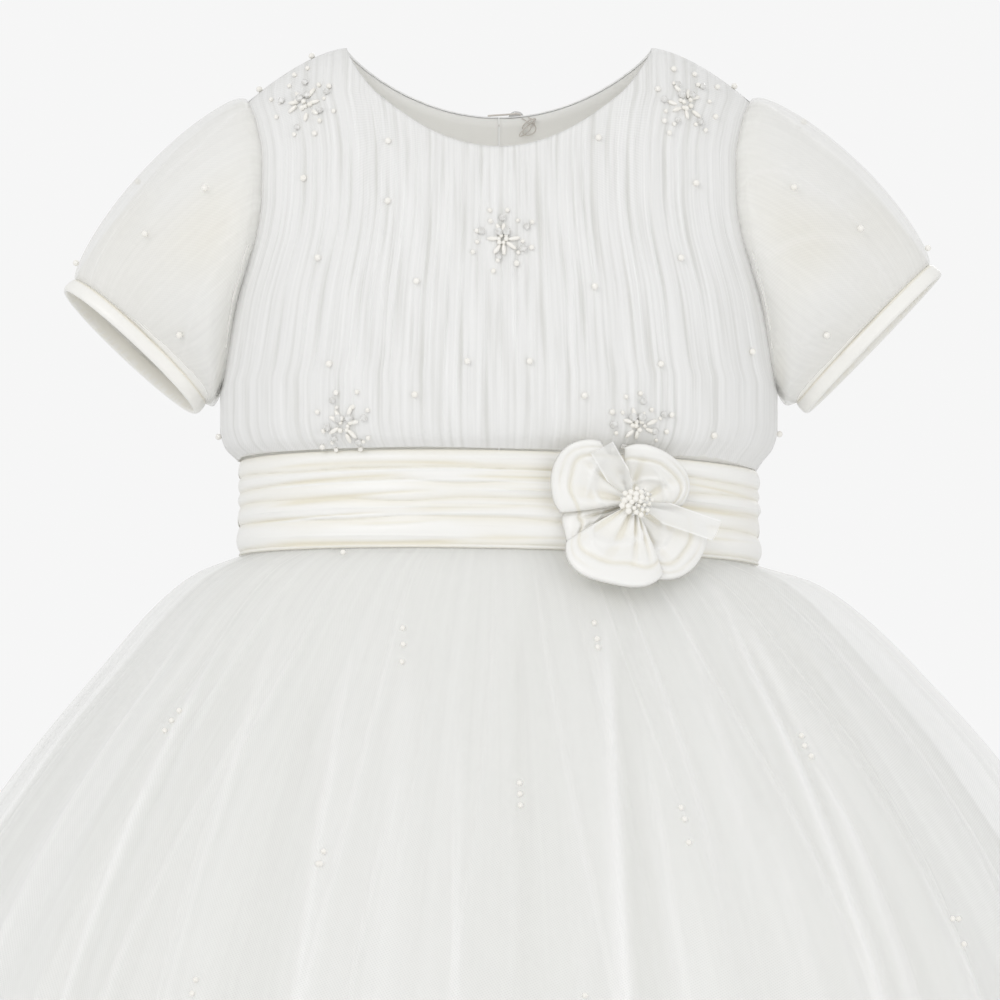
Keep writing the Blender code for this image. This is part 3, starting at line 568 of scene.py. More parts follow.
satin = ivory_satin()
tulle = gathered_tulle("gathered_tulle", 0.80, 0.97, 0.42)
front_of_bodice = None
back_of_bodice = []
for name, start, end, gathers, creases, columns, seed, behind in PANELS:
    dice = np.random.default_rng(int(seed * 10))
    s = np.linspace(start, end, columns)
    corner = NECK_HALF / SHOULDER_TIP_X
    for side in (-corner, corner):
        if start < side < end:
            s[np.argmin(np.abs(s - side))] = side
    share = np.concatenate((np.linspace(0.0, 0.16, 18), np.linspace(0.175, 1.0, PANEL_ROWS - 18)))
    across, up = np.meshgrid(s, share)
    steps = (across - start) / (end - start)

    # Tulle: the main gathers of the solid, with fine creases between, turned under at foot and neck.
    # Along each gather its valley comes and goes, so that no two run alike.
    sway = 0.0030 * np.sin(4.0 * up + 9.0 * across + seed) + 0.0016 * np.sin(9.0 * up - 21.0 * across)
    swayed = unit(steps + sway * steps * (1.0 - steps) * 4.0)
    ridges = main_gathers(swayed, gathers, seed, spread=0.5, broad=0.75)
    coming = 0.5 + 0.5 * np.sin(61.0 * across + 9.0 * up + seed) * np.sin(23.0 * across - 7.0 * up)
    ridges = 1.0 - (1.0 - ridges) * (0.15 + 0.85 * coming)
    thin = fine_creases(steps, 1.0 - up, creases, dice, 0.50 / columns, 0.0022)
    calm = rise(1.0 - up, NECK_CALM)
    drawn = 1.0 - 0.50 * rise(np.abs(across) - SIDE_CALM, 0.20)
    drawn = drawn * (1.0 - 0.40 * unit(1.0 - up / 0.24))
    relief = TULLE_LIFT + calm * drawn * (GATHER_DEPTH * (ridges - 0.25) + CREASE_DEPTH * thin)
    under = unit(1.0 - up / FOOT_TURN) ** 2
    relief = relief * (1.0 - under) - TURN_UNDER * under
    at_sleeve = rise(np.abs(across) - SLEEVE_EDGE, 1.0 - SLEEVE_EDGE) * (up > SIDE_SHARE)
    relief = relief * (1.0 - at_sleeve) - SLEEVE_EDGE_IN * at_sleeve
    # The fold value sets the tulle's density and paints its shade: lower and greyer in the gathers'
    # valleys, higher and whiter on the fine creases
    fold = unit(0.42 + drawn * (0.45 * thin - 0.60 * unit(0.70 - ridges)))
    edge = np.array(NECK_TURN)[:, None] * np.ones((1, columns))
    across = np.concatenate((across, across[:3]))
    up = np.concatenate((up, np.ones((3, columns))))
    relief = np.concatenate((relief, edge))
    fold = np.concatenate((fold, np.repeat(fold[-1:], 3, axis=0)))
    grid = panel_surface(across, up, relief, behind)
    overlay = cloth_mesh(name + "_tulle", grid, tulle, [("fold", fold)], flip=behind)
    if behind:
        back_of_bodice.append(grid)
    else:
        front_of_bodice = grid

    # Satin under it, smooth, a little lower than the solid's face
    wide = np.union1d(s[::8], s[-1:])
    high = np.union1d(share[::3], share[-1:]) * 0.997
    across, up = np.meshgrid(wide, high)
    low = unit(1.0 - up / FOOT_TURN) ** 2
    sag = 0.0002 * np.sin(9.0 * across + 3.0 * up + seed) * np.sin(5.0 * up + 2.0 * across)
    inner = panel_surface(across, up, sag - SATIN_SET_IN - (TURN_UNDER - SATIN_SET_IN) * low, behind)
    base = cloth_mesh(name + "_satin", inner, satin, [("painted_shade", 0.0)], flip=behind)
    thicken(base, SATIN_WALL)

    for piece in (overlay, base):
        belongs(piece, name)

# Sleeves. Each is a short satin puff gathered into the armhole and the cuff, with a looser layer of
# sheer tulle over it, caught in the same two seams.
ARMHOLE_SEAM = 0.0006
CUFF_WIDTH = 0.0070
CUFF_WALL = 0.0024
CUFF_HALF_DEPTH = 0.0215
PUFF_ALL_ROUND = 0.0030
PUFF_TOP = 0.0105
PUFF_FRONT = 0.0085
PUFF_FULLNESS = 0.6
# Columns: side, outer end x and z of the free edge, inner end x and z, turn of the opening forward
CUFFS = (
    ("right", -1, 0.2107, -0.1171, 0.1450, -0.1781, math.radians(10.0)),
    ("left", 1, 0.2141, -0.1094, 0.1474, -0.1781, math.radians(2.5)),
)
SLEEVE_SIDES = 240
SLEEVE_ROWS = 73
SLEEVE_SATIN_IN = 0.0010
SLEEVE_TOP_IN = 0.0036
SLEEVE_SATIN_WALL = 0.0006
SLEEVE_SWELL = 0.0014
# Soft swells and hollows of the satin. Columns: place round from the top by the front, place down,
# reach round, reach down, height
SLEEVE_SWELLS = (
    (0.08, 0.14, 0.07, 0.12, 1.0),
    (0.13, 0.42, 0.06, 0.16, 1.2),
    (0.21, 0.40, 0.045, 0.40, -1.4),
    (0.10, 0.78, 0.07, 0.14, -0.8),
    (0.24, 0.78, 0.05, 0.16, 0.9),
    (0.31, 0.50, 0.06, 0.30, 0.8),
    (0.40, 0.18, 0.05, 0.22, -1.3),
    (0.62, 0.40, 0.07, 0.25, -0.8),
    (0.75, 0.50, 0.06, 0.35, 0.9),
    (0.86, 0.35, 0.06, 0.30, -1.0),
)
SLEEVE_TUCK = 0.0022
SHEER_LIFT = 0.0003
SHEER_TOP_LIFT = 0.0008
SLEEVE_GATHER = 0.0007
SLEEVE_CREASE = 0.00020


def armhole_loop(count):
    """The armhole's edge: down the front from the shoulder tip in cosine steps, and up behind."""
    middle = 0.5 * (UNDERARM_Z - SHOULDER_TIP_DROP)
    half = 0.5 * (-SHOULDER_TIP_DROP - UNDERARM_Z)
    z = middle + half * np.cos(np.linspace(0.0, math.pi, count // 2 + 1))
    x = smooth_table(SIDE_EDGE, 1, z)
    front = np.stack((x, -body_depth(x, z, False), z), axis=-1)
    back = np.stack((x, body_depth(x, z, True), z), axis=-1)[::-1]
    loop = np.concatenate((front[:-1], back[:-1]))
    loop[0, 1] = 0.0
    loop[count // 2, 1] = 0.0
    return loop


def cuff_loop(row, count, back_off, grow):
    """An ellipse round the cuff, back_off up the sleeve from its free edge and grow wider, for +X."""
    outer_x, outer_z, inner_x, inner_z, turn = row[2:]
    outer = np.array((outer_x, 0.0, outer_z))
    inner = np.array((inner_x, 0.0, inner_z))
    half = 0.5 * np.linalg.norm(outer - inner)
    along = (outer - inner) / (2.0 * half)
    level = np.array((along[2], 0.0, -along[0]))
    aside = np.array((0.0, 1.0, 0.0)) * math.cos(turn) + level * math.sin(turn)
    axis = np.cross(aside, along)
    axis = -axis if axis[2] > 0 else axis
    angle = full_turn(count)
    wide = (half - CUFF_WALL / 2 + grow) * np.cos(angle)
    deep = (CUFF_HALF_DEPTH + grow) * np.sin(angle)
    back_off = np.asarray(back_off)
    return 0.5 * (outer + inner) - axis * back_off + wide[:, None] * along - deep[:, None] * aside


def sleeve_surface(row, shares, lift):
    """A sleeve: the armhole's loop, tucked under the bodice, blends into the cuff's.

    Between them it is pushed out by a sine puff and the lift.
    """
    count = SLEEVE_SIDES
    start = armhole_loop(count)
    end = cuff_loop(row, count, CUFF_WIDTH + SEAM, -CUFF_WALL / 2)
    turn = full_turn(count)
    puff = PUFF_ALL_ROUND + PUFF_TOP * (0.5 + 0.5 * np.cos(turn)) + PUFF_FRONT * np.abs(np.sin(turn))
    t = shares[:, None, None]
    ring = (1 - t) * start + t * end
    away = direction_of(ring - ((1 - t) * start.mean(axis=0) + t * end.mean(axis=0)))
    first = direction_of(away * (0.0, 1.0, 1.0))
    near = unit(1.0 - t / 0.08)
    away = away * (1 - near) + first * near
    out = puff * np.maximum(0.0, np.sin(math.pi * shares[:, None] ** 0.85)) ** PUFF_FULLNESS + lift
    tucked = SLEEVE_TUCK * unit(1.0 - t / 0.03)
    grid = ring + away * out[..., None] + np.array((1.0, 0.0, 0.0)) * (ARMHOLE_SEAM * (1 - t) - tucked)
    return grid * np.array((row[1], 1.0, 1.0))


sheer_tulle = gathered_tulle("sheer_sleeve_tulle", 0.26, 0.66, 0.08)
for cuff_row in CUFFS:
    side_name, side = cuff_row[0], cuff_row[1]
    name = "sleeve_" + side_name
    dice = np.random.default_rng(40 + side)
    shares = np.linspace(0.0, 1.0, SLEEVE_ROWS)
    turn = np.arange(SLEEVE_SIDES) / SLEEVE_SIDES
    round_it, down = np.meshgrid(turn, shares)
    angle = 2 * math.pi * round_it
    swell = np.sin(math.pi * down)
    top = unit(np.cos(angle)) ** 1.5

    # Satin puff: soft broad swells, a little inside the sheer layer
    waves = np.sin(3 * angle + 5.0 * down + side) * np.sin(6.0 * down + 1.3 * side + np.sin(angle))
    waves *= 0.5
    for middle, low, reach_round, reach_down, height in SLEEVE_SWELLS:
        off = (round_it - middle + 0.5) % 1.0 - 0.5
        waves += height * np.exp(-(off / reach_round) ** 2 - ((down - low) / reach_down) ** 2)
    lift = -0.0004 - (SLEEVE_SATIN_IN + SLEEVE_TOP_IN * top) * np.maximum(swell, 0.0) ** 0.5
    lift = lift + SLEEVE_SWELL * (waves - 0.4) * swell
    inner = sleeve_surface(cuff_row, shares, lift)
    # Painted shade: the satin is painted warmer and darker in the troughs between its swells
    painted_shade = unit(0.10 - 0.30 * waves * swell)
    inner = inner[::2, ::2]
    base = cloth_mesh(name + "_satin", inner, satin, [("painted_shade", painted_shade[::2, ::2])],
                      closed=True, flip=side > 0)
    thicken(base, SLEEVE_SATIN_WALL)

    # Sheer tulle: stands off the satin along the top, with gathers at both seams and slanting creases
    slant = (round_it + 0.06 * side * down) % 1.0
    ridges = main_gathers(slant, 30, 1.0 + side, 0.3, broad=0.6)
    at_seams = 0.04 + 0.96 * unit(1.0 - down / 0.22) + 0.5 * rise(down - 0.82, 0.18)
    thin = fine_creases(slant, down, 26, dice, 0.0040, 0.016, 0.2)
    lift = SHEER_LIFT + SHEER_TOP_LIFT * top * swell
    lift = lift + SLEEVE_GATHER * ridges * at_seams * (0.2 + 0.8 * swell)
    lift += SLEEVE_CREASE * thin * swell
    outer = sleeve_surface(cuff_row, shares, lift)
    # The fold value sets the sheer tulle's density and paints its shade: greyer in the gathers' valleys by
    # the seams, whiter on the creases
    fold = unit(0.36 - 0.25 * unit(0.5 - ridges) * at_seams + 0.22 * thin)
    overlay = cloth_mesh(name + "_tulle", outer, sheer_tulle, [("fold", fold)],
                         closed=True, flip=side > 0)
    for piece in (overlay, base):
        belongs(piece, name)
    if side < 0:
        right_sleeve = outer
    else:
        left_sleeve = outer

# Cuffs. A folded bias band of satin closes each sleeve: a soft fold at the free edge and a seam at
# the top, where the gathers are caught.
CUFF_SIDES = 200
# Columns: distance up the sleeve, distance out from the loop
CUFF_SECTION = (
    (0.0012, -0.0018),
    (0.0003, -0.0014),
    (-0.0001, -0.0008),
    (0.0002, -0.0001),
    (0.0010, 0.0005),
    (0.0024, 0.0008),
    (0.0042, 0.0007),
    (0.0058, 0.0005),
    (0.0068, 0.0001),
    (0.0074, -0.0006),
    (0.0076, -0.0012),
    (0.0070, -0.0018),
    (0.0040, -0.0019),
)
# How much painted shade each row of the section gets: a little on its face, most at the seam at the top,
# some on its inner side
CUFF_PAINTED_SHADE = [0.1] * 8 + [0.7] * 2 + [0.4] * 4


def close_edges(piece):
    """Merge the points that two faces of a closed shape share, and turn its faces outward."""
    shape = bmesh.new()
    shape.from_mesh(piece.data)
    bmesh.ops.remove_doubles(shape, verts=shape.verts, dist=1e-6)
    bmesh.ops.dissolve_degenerate(shape, edges=shape.edges, dist=1e-6)
    bmesh.ops.recalc_face_normals(shape, faces=shape.faces)
    shape.to_mesh(piece.data)
    shape.free()


def cuff_band(row):
    """The cuff's section carried round its ellipse, with small uneven tucks."""
    side = row[1]
    angle = full_turn(CUFF_SIDES)
    tuck = 0.00016 * np.sin(11 * angle + side) + 0.00012 * np.sin(23 * angle + 2.0 * side)
    loops = [cuff_loop(row, CUFF_SIDES, up, 0.0) for up, _ in CUFF_SECTION]
    grid = []
    for (up, out), loop in zip(CUFF_SECTION, loops):
        away = direction_of(loop - loop.mean(axis=0))
        grid.append(loop + away * (out + tuck * (0.4 + 60.0 * max(out, 0.0)))[:, None])
    return np.array(grid) * np.array((side, 1.0, 1.0))


for cuff_row in CUFFS:
    side_name, side = cuff_row[0], cuff_row[1]
    band = cuff_band(cuff_row)
    band = np.concatenate((band, band[:1]))
    piece = cloth_mesh("cuff_" + side_name + "_band", band, satin,
                       [("painted_shade", np.array(CUFF_PAINTED_SHADE)[:, None])],
                       closed=True, flip=side > 0)
    close_edges(piece)
    belongs(piece, "cuff_" + side_name)

# Skirt. Plain ivory lining, a fuller under skirt of tulle, and the fullest tulle outside. All are
# gathered into the waist seam and hang free, held out by their own fullness.
SASH_FOOT_Z = -0.2471
SASH_FOOT_RISE = 0.0015
SASH_FOOT_LEAN = 0.0024
WAIST_FOLD = 0.0006
HEM_FOLD = 0.0066
UNDER_HEM_FOLD = 0.0054
SLOW_SWELLS = 16
SLOW_SWELL = 0.0012
LONG_CREASE = 0.0016
LINING_SWAY = 0.0020
LINING_WALL = 0.0006
# The main long creases, the same in front and behind. Columns: share of the way round at the foot,
# its shift at the waist, start and end down, width, height. A height below nothing is a sheer trough.
SKIRT_CREASES = (
    (0.045, -0.010, 0.05, 0.70, 0.0040, 0.50),
    (0.100, -0.030, 0.03, 0.60, 0.0030, 0.60),
    (0.155, -0.050, 0.10, 0.90, 0.0130, -0.45),
    (0.190, -0.060, 0.05, 0.80, 0.0038, 0.60),
    (0.255, -0.075, 0.10, 1.20, 0.0026, 0.90),
    (0.272, -0.078, 0.12, 1.00, 0.0110, -0.45),
    (0.322, -0.088, 0.05, 0.90, 0.0032, 0.45),
    (0.372, -0.080, 0.16, 1.20, 0.0120, -0.40),
    (0.395, -0.072, 0.12, 1.20, 0.0024, 0.65),
    (0.440, -0.055, 0.10, 1.00, 0.0120, 0.35),
    (0.478, -0.030, 0.20, 1.20, 0.0034, 0.40),
    (0.512, 0.020, 0.05, 0.80, 0.0100, -0.35),
    (0.563, 0.080, 0.08, 1.20, 0.0026, 1.10),
    (0.580, 0.082, 0.10, 1.20, 0.0100, -0.85),
    (0.599, 0.050, 0.20, 1.20, 0.0034, 0.50),
    (0.650, 0.078, 0.04, 0.45, 0.0050, 0.45),
    (0.668, 0.085, 0.30, 1.00, 0.0070, 0.35),
    (0.708, 0.070, 0.03, 1.20, 0.0024, 0.85),
    (0.717, 0.068, 0.06, 1.00, 0.0050, -0.40),
    (0.728, 0.066, 0.05, 0.95, 0.0040, 0.60),
    (0.790, 0.018, 0.08, 0.85, 0.0130, -0.55),
    (0.838, 0.030, 0.05, 0.90, 0.0034, 0.60),
    (0.876, 0.022, 0.10, 0.80, 0.0120, -0.40),
    (0.925, 0.012, 0.05, 0.70, 0.0034, 0.55),
    (0.965, 0.006, 0.08, 0.80, 0.0090, 0.35),
)
# The outer tulle billows further out on the wearer's left. Columns: drop below the sash, extra reach
LEFT_BILLOW = (
    (0.0000, 0.0000),
    (0.0085, 0.0060),
    (0.0235, 0.0090),
    (0.0515, 0.0125),
    (0.0975, 0.0145),
    (0.1500, 0.0110),
    (0.2125, 0.0060),
    (0.3000, 0.0020),
    (0.3860, 0.0000),
)
# Columns: drop below the sash, reach out from the waist at the sides, and in front and behind
OUTER_SKIRT = (
    (0.0000, 0.0000, 0.0000),
    (0.0085, 0.0215, 0.0090),
    (0.0235, 0.0400, 0.0220),
    (0.0515, 0.0640, 0.0430),
    (0.0975, 0.1010, 0.0800),
    (0.1500, 0.1365, 0.1175),
    (0.2125, 0.1685, 0.1520),
    (0.3000, 0.1935, 0.1830),
    (0.3860, 0.2030, 0.1950),
)
UNDER_SKIRT = (
    (0.0000, -0.0022, -0.0022),
    (0.0085, 0.0145, 0.0048),
    (0.0235, 0.0315, 0.0155),
    (0.0515, 0.0550, 0.0350),
    (0.0975, 0.0910, 0.0700),
    (0.2125, 0.1555, 0.1390),
    (0.3780, 0.1870, 0.1790),
)
LINING = (
    (0.0000, -0.0038, -0.0038),
    (0.0100, 0.0050, -0.0010),
    (0.0500, 0.0300, 0.0190),
    (0.1500, 0.0780, 0.0640),
    (0.3660, 0.1300, 0.1180),
)
HALVES = (("front", math.pi, 2 * math.pi), ("back", 0.0, math.pi))


def sash_foot(x):
    """Height of the sash's bottom edge: a shallow arch that leans to the wearer's left."""
    share = x / (SASH_HALF + 0.0015)
    return SASH_FOOT_Z - SASH_FOOT_RISE * share ** 2 - SASH_FOOT_LEAN * share


def oval_ring(turn, half, depth_front, depth_back):
    """Points and outward directions of the waist's oval. A turn of 0 is +X, and 90 is behind."""
    cosine = np.cos(turn)
    sine = np.sin(turn)
    depth = np.where(sine > 0, depth_back, depth_front)
    x = half * np.sign(cosine) * np.abs(cosine) ** (2 / OVAL)
    y = depth * np.sign(sine) * np.abs(sine) ** (2 / OVAL)
    out_x = np.sign(x) * np.abs(x / half) ** (OVAL - 1) / half
    out_y = np.sign(y) * np.abs(y / depth) ** (OVAL - 1) / depth
    size = np.hypot(out_x, out_y)
    return x, y, out_x / size, out_y / size


def waist_ring(start, end, shares, side_reach=0.0, front_reach=0.0):
    """Points and outward directions of a ring a reach out from the waist, even along its length."""
    fine = np.linspace(start, end, 1441)
    x, y, out_x, out_y = oval_ring(fine, SASH_HALF, SASH_FRONT, SASH_BACK)
    run = np.hypot(np.diff(x + out_x * side_reach), np.diff(y + out_y * front_reach))
    length = np.concatenate(([0.0], np.cumsum(run)))
    turns = np.interp(np.asarray(shares) * length[-1], length, fine)
    return oval_ring(turns, SASH_HALF, SASH_FRONT, SASH_BACK)


def skirt_surface(table, start, end, shares, down, ripple, billow=0.0):
    """Half a skirt layer: rings round the waist's oval, reaching out by the table and the ripple.

    The billow adds the reach of its own table times the square of how far a point faces left.
    """
    longest = table[-1][0]
    rows = []
    for number, part in enumerate(down):
        drop = part * longest
        side_reach = float(smooth_table(table, 1, drop))
        front_reach = float(smooth_table(table, 2, drop))
        x, y, out_x, out_y = waist_ring(start, end, shares, side_reach, front_reach)
        z = (sash_foot(x) - SEAM) * (1 - part) + (SASH_FOOT_Z - SEAM) * part - drop
        more = ripple[number] + billow * smooth_table(LEFT_BILLOW, 1, drop) * unit(out_x) ** 2
        x = x + out_x * (side_reach + more)
        y = y + out_y * (front_reach + more)
        rows.append(np.stack((x, y, z), axis=-1))
    grid = np.array(rows)
    grid[..., 1] = seam_side(grid[..., 1], math.copysign(1.0, math.sin(0.5 * (start + end))))
    return grid


def placed_creases(across, fall, table):
    """The long creases: each a soft ridge or trough round its own line, fading at its two ends.

    A line keeps its share of the way round, and turns off toward the waist as exp(-fall / 0.2). It is
    broader where it turns.
    """
    total = np.zeros(across.shape)
    for foot, turn, start, end, width, height in table:
        off = turn * np.exp(-fall / 0.2)
        distance = (across - foot - off) / (width * (0.7 + 0.7 * fall) + 0.07 * np.abs(off))
        inside = rise(fall - start, 0.10) * rise(end - fall, 0.15)
        total += height * inside / (1.0 + distance ** 2) ** 1.5
    return total


def fold_density(grid, height):
    """How steeply a fold's flank rises, from 0 to 1: tulle looks denser where it turns away."""
    run = np.linalg.norm(np.gradient(grid, axis=1), axis=-1)
    return unit(np.abs(np.gradient(height, axis=1)) / np.maximum(run, 1e-6))


def skirt_net(name, sheer, dense, fine):
    """Soft net of the skirt: sheer, denser where folds turn away, its mesh on the cloth's UV, and its
    colour painted greyer where flat and whiter on creases as painted shade and highlight.
    """
    material, shader = new_finish(name, (0.92, 0.92, 0.90), 0.8, Sheen_Weight=0.15, Sheen_Roughness=0.5,
                                  Specular_IOR_Level=0.15)
    folded = streaks(material, 90.0, 2.0, 0.10)
    # Painted shade and highlight: greyer where the net is thin and flat, whiter on its creases and
    # turned-away flanks
    blend(material, shader, folded, (0.935, 0.937, 0.925), (0.985, 0.985, 0.98))
    net = crossed_waves(material, fine, 0.5, 1.0, 30.0)
    net_sheerness(material, shader, folded, sheer, dense, net, (0.90, 1.06))
    return material


def lining_cloth():
    """Plain ivory lining with a fine weave and a faint uneven dye."""
    material, shader = new_finish("skirt_lining", (0.90, 0.89, 0.84), 0.6, Sheen_Weight=0.1)
    cloth = add_node(material, "UVMap", uv_map="cloth")
    drawn = add_node(material, "Mapping", [("Vector", cloth.outputs[0]), ("Scale", (30.0, 6.0, 1.0))])
    dye = add_node(material, "TexNoise", [("Vector", drawn.outputs[0]), ("Scale", 1.0)])
    two_tone(material, shader, dye.outputs[0], (0.925, 0.920, 0.870), (0.945, 0.940, 0.900))
    weave_bump(material, shader, 0.0005, 0.15, 0.00006)
    return material


outer_net = skirt_net("outer_net", 0.30, 0.84, 300.0)
under_net = skirt_net("under_net", 0.64, 0.92, 300.0)
lining = lining_cloth()
# Columns: name, table, main folds, fold reach, fine folds, fine depth, columns, rows, seed, net
LAYERS = (
    ("skirt_outer", OUTER_SKIRT, 20, HEM_FOLD, 44, 0.0011, 640, 76, 0.9, outer_net),
    ("skirt_under", UNDER_SKIRT, 12, UNDER_HEM_FOLD, 26, 0.0010, 420, 56, 2.2, under_net),
)
outer_skirt = {}
for name, table, folds, reach, fine, depth, columns, rows, seed, net in LAYERS:
    for number, (half, start, end) in enumerate(HALVES):
        dice = np.random.default_rng(int(100 * seed) + number)
        shares = np.linspace(0.0, 1.0, columns)
        down = np.linspace(0.0, 1.0, rows) ** 1.35
        across, fall = np.meshgrid(shares, down)
        main = main_gathers(across, folds, seed + number, 0.35, 0.24)
        main = main * (WAIST_FOLD + reach * fall ** 0.8)
        thin = fine_creases(across, fall, fine, dice, 0.0022, 0.010, 0.4)
        slow = fine_creases(across, fall, SLOW_SWELLS, dice, 0.012, 0.020, 0.5)
        laid = placed_creases(across, fall, SKIRT_CREASES)
        grow = 0.25 + 0.75 * rise(fall, 0.35)
        edge = rise(across, 0.02) * rise(1.0 - across, 0.02)
        rough = depth * (thin - 0.35) + SLOW_SWELL * (slow - 0.5) + LONG_CREASE * laid
        ripple = main + rough * grow * rise(fall, 0.03) * edge
        billow = 1.0 if name == "skirt_outer" else 0.0
        grid = skirt_surface(table, start, end, shares, down, ripple, billow)
        # The fold value sets the net's density and paints its shade and highlight: whiter on steep flanks
        # and creases, greyer in the sheer troughs
        fold = 0.16 + 0.24 * fold_density(grid, ripple) + 0.28 * unit(thin - 0.35)
        fold = unit(fold + 0.14 * (slow - 0.5) + 0.50 * laid)
        piece = cloth_mesh(name + "_" + half + "_net", grid, net, [("fold", fold)])
        if name == "skirt_outer":
            outer_skirt[half] = grid
        belongs(piece, name + "_" + half)
for half, start, end in HALVES:
    shares = np.linspace(0.0, 1.0, 100)
    down = np.linspace(0.0, 1.0, 32)
    across, fall = np.meshgrid(shares, down)
    ripple = LINING_SWAY * fall * np.sin(26.0 * across + 2.0 * fall + start) * np.sin(math.pi * across)
    grid = skirt_surface(LINING, start, end, shares, down, ripple)
    piece = cloth_mesh("skirt_lining_" + half + "_cloth", grid, lining)
    thicken(piece, LINING_WALL)
    belongs(piece, "skirt_lining_" + half)

# Sash. A wide strip of satin laid in soft level pleats by hand and tacked to the waist, with a side
# seam at each side and the back opening behind.
# Columns: where a pleat ends, as a share of the way down, and how far its crest stands out
PLEATS = (
    (0.183, 0.0023),
    (0.315, 0.0018),
    (0.497, 0.0021),
    (0.690, 0.0022),
    (0.958, 0.0026),
    (1.000, 0.0014),
)
PLEAT_WANDER = 0.020
# Smaller creases between the pleats. Columns: start and end across from -1 to 1, share down at each,
# bow between, width, height. A height below nothing is a trough.
SASH_CREASES = (
    (-0.88, -0.05, 0.150, 0.150, -0.020, 0.030, -1.00),
    (-0.15, 0.70, 0.150, 0.185, 0.010, 0.042, -0.75),
    (-0.97, 0.70, 0.260, 0.240, -0.045, 0.014, 0.80),
    (-0.85, -0.32, 0.325, 0.260, -0.010, 0.020, -0.90),
    (-0.18, 0.70, 0.275, 0.300, -0.010, 0.018, -1.00),
    (-0.92, 0.70, 0.360, 0.360, -0.045, 0.014, 0.70),
    (-0.02, 0.70, 0.395, 0.415, 0.000, 0.014, -0.80),
    (-0.90, -0.22, 0.560, 0.420, -0.020, 0.028, -1.10),
    (-0.98, -0.42, 0.700, 0.640, 0.000, 0.012, -0.90),
    (-0.38, 0.20, 0.615, 0.560, 0.000, 0.036, -0.90),
    (0.10, 0.75, 0.570, 0.600, 0.010, 0.024, -0.80),
    (-0.92, 0.75, 0.720, 0.670, -0.040, 0.013, 0.80),
    (-0.60, -0.20, 0.750, 0.715, 0.020, 0.018, -0.90),
    (-0.90, -0.10, 0.935, 0.930, 0.025, 0.026, -1.00),
    (-0.15, 0.60, 0.905, 0.885, -0.010, 0.026, -0.80),
    (0.62, 1.00, 0.230, 0.330, -0.010, 0.020, -0.90),
    (0.60, 1.00, 0.470, 0.520, 0.020, 0.022, -0.80),
    (0.60, 1.00, 0.800, 0.780, 0.010, 0.020, -0.80),
)
SASH_CREASE = 0.0006
SASH_LIFT = 0.0003
SASH_SWELLS = 16
SASH_SWELL = 0.00065
# Both long edges turn in under the sash: how far their two rows stand off the waist
SASH_TURN_IN = (-0.0016, -0.0010)
SASH_ROWS = 100
# Columns: name, start and end of its turn, columns, seed
SASHES = (
    ("sash_front", math.pi, 2 * math.pi, 300, 0.4),
    ("sash_back_left", 0.0, math.pi / 2, 150, 1.7),
    ("sash_back_right", math.pi / 2, math.pi, 150, 2.9),
)


def pleat_relief(x, down, seed):
    """Each pleat is a rounded ridge, fuller toward its lower edge, between wandering level grooves."""
    reach = x / SASH_HALF
    height = np.zeros(down.shape)
    before = np.zeros(down.shape[1])
    for number, (foot, crest) in enumerate(PLEATS):
        sway = math.sin(math.pi * foot)
        wander = sway * (PLEAT_WANDER * np.sin(7.0 * reach + 1.9 * number + seed)
                         + 0.010 * np.sin(15.0 * reach + 3.1 * number + 2.0 * seed))
        swell = 0.80 + 0.20 * np.sin(9.0 * reach + 2.7 * number + seed)
        edge = foot + wander
        t = unit((down - before) / (edge - before))
        ridge = np.sin(math.pi * t ** 1.25) ** 0.62
        height += np.where((down >= before) & (down < edge), crest * swell * ridge, 0.0)
        before = edge
    return height


def laid_creases(reach, down):
    """The small creases: each a ridge or trough round a bowed line, fading at its two ends."""
    total = np.zeros(down.shape)
    for start, end, first, last, bow, width, height in SASH_CREASES:
        t = unit((reach - start) / (end - start))
        line = first + (last - first) * t + 4.0 * bow * t * (1.0 - t)
        inside = rise(reach - start, 0.14) * rise(end - reach, 0.14)
        wide = width * (0.7 + 0.5 * np.sin(5.0 * reach + 9.0 * first) ** 2)
        total += height * inside / (1.0 + ((down - line) / wide) ** 2) ** 1.5
    return total


for name, start, end, columns, seed in SASHES:
    dice = np.random.default_rng(int(seed * 10))
    shares = np.linspace(0.0, 1.0, columns)
    x, y, out_x, out_y = waist_ring(start, end, shares)
    level = np.linspace(0.0, 1.0, SASH_ROWS)
    across, down = np.meshgrid(shares, level)
    relief = pleat_relief(x, down, seed)
    slow = fine_creases(down, across, SASH_SWELLS, dice, 0.012, 0.020, 0.2)
    relief = SASH_LIFT + 0.92 * relief + SASH_SWELL * slow * rise(relief, 0.001)
    laid = laid_creases(x / SASH_HALF if start == math.pi else -x / SASH_HALF, down)
    relief = np.maximum(relief + SASH_CREASE * laid, 0.0002)
    ends = np.exp(-across / 0.012) + np.exp(-(1.0 - across) / 0.012)
    relief *= 1.0 - 0.25 * ends
    # Painted shade: warmer and darker in the grooves between pleats and in the small troughs, lighter on
    # the small ridges
    painted_shade = unit(0.8 * unit(1.0 - relief / 0.0019) - 0.55 * laid)
    turn_in = np.array(SASH_TURN_IN)[:, None] * np.ones((1, columns))
    relief = np.concatenate((turn_in, relief, turn_in[::-1]))
    painted_shade = np.pad(painted_shade, ((2, 2), (0, 0)))
    level = np.pad(level, 2, mode="edge")[:, None]
    z = sash_top(x) + level * (sash_foot(x) - sash_top(x))
    grid = np.stack((x + out_x * relief, y + out_y * relief, z), axis=-1)
    grid[..., 1] = seam_side(grid[..., 1], -1.0 if name == "sash_front" else 1.0)
    if name != "sash_front":
        grid[..., 0] = seam_side(grid[..., 0], 1.0 if name == "sash_back_left" else -1.0)
    piece = cloth_mesh(name + "_satin", grid, satin, [("painted_shade", painted_shade)])
    belongs(piece, name)

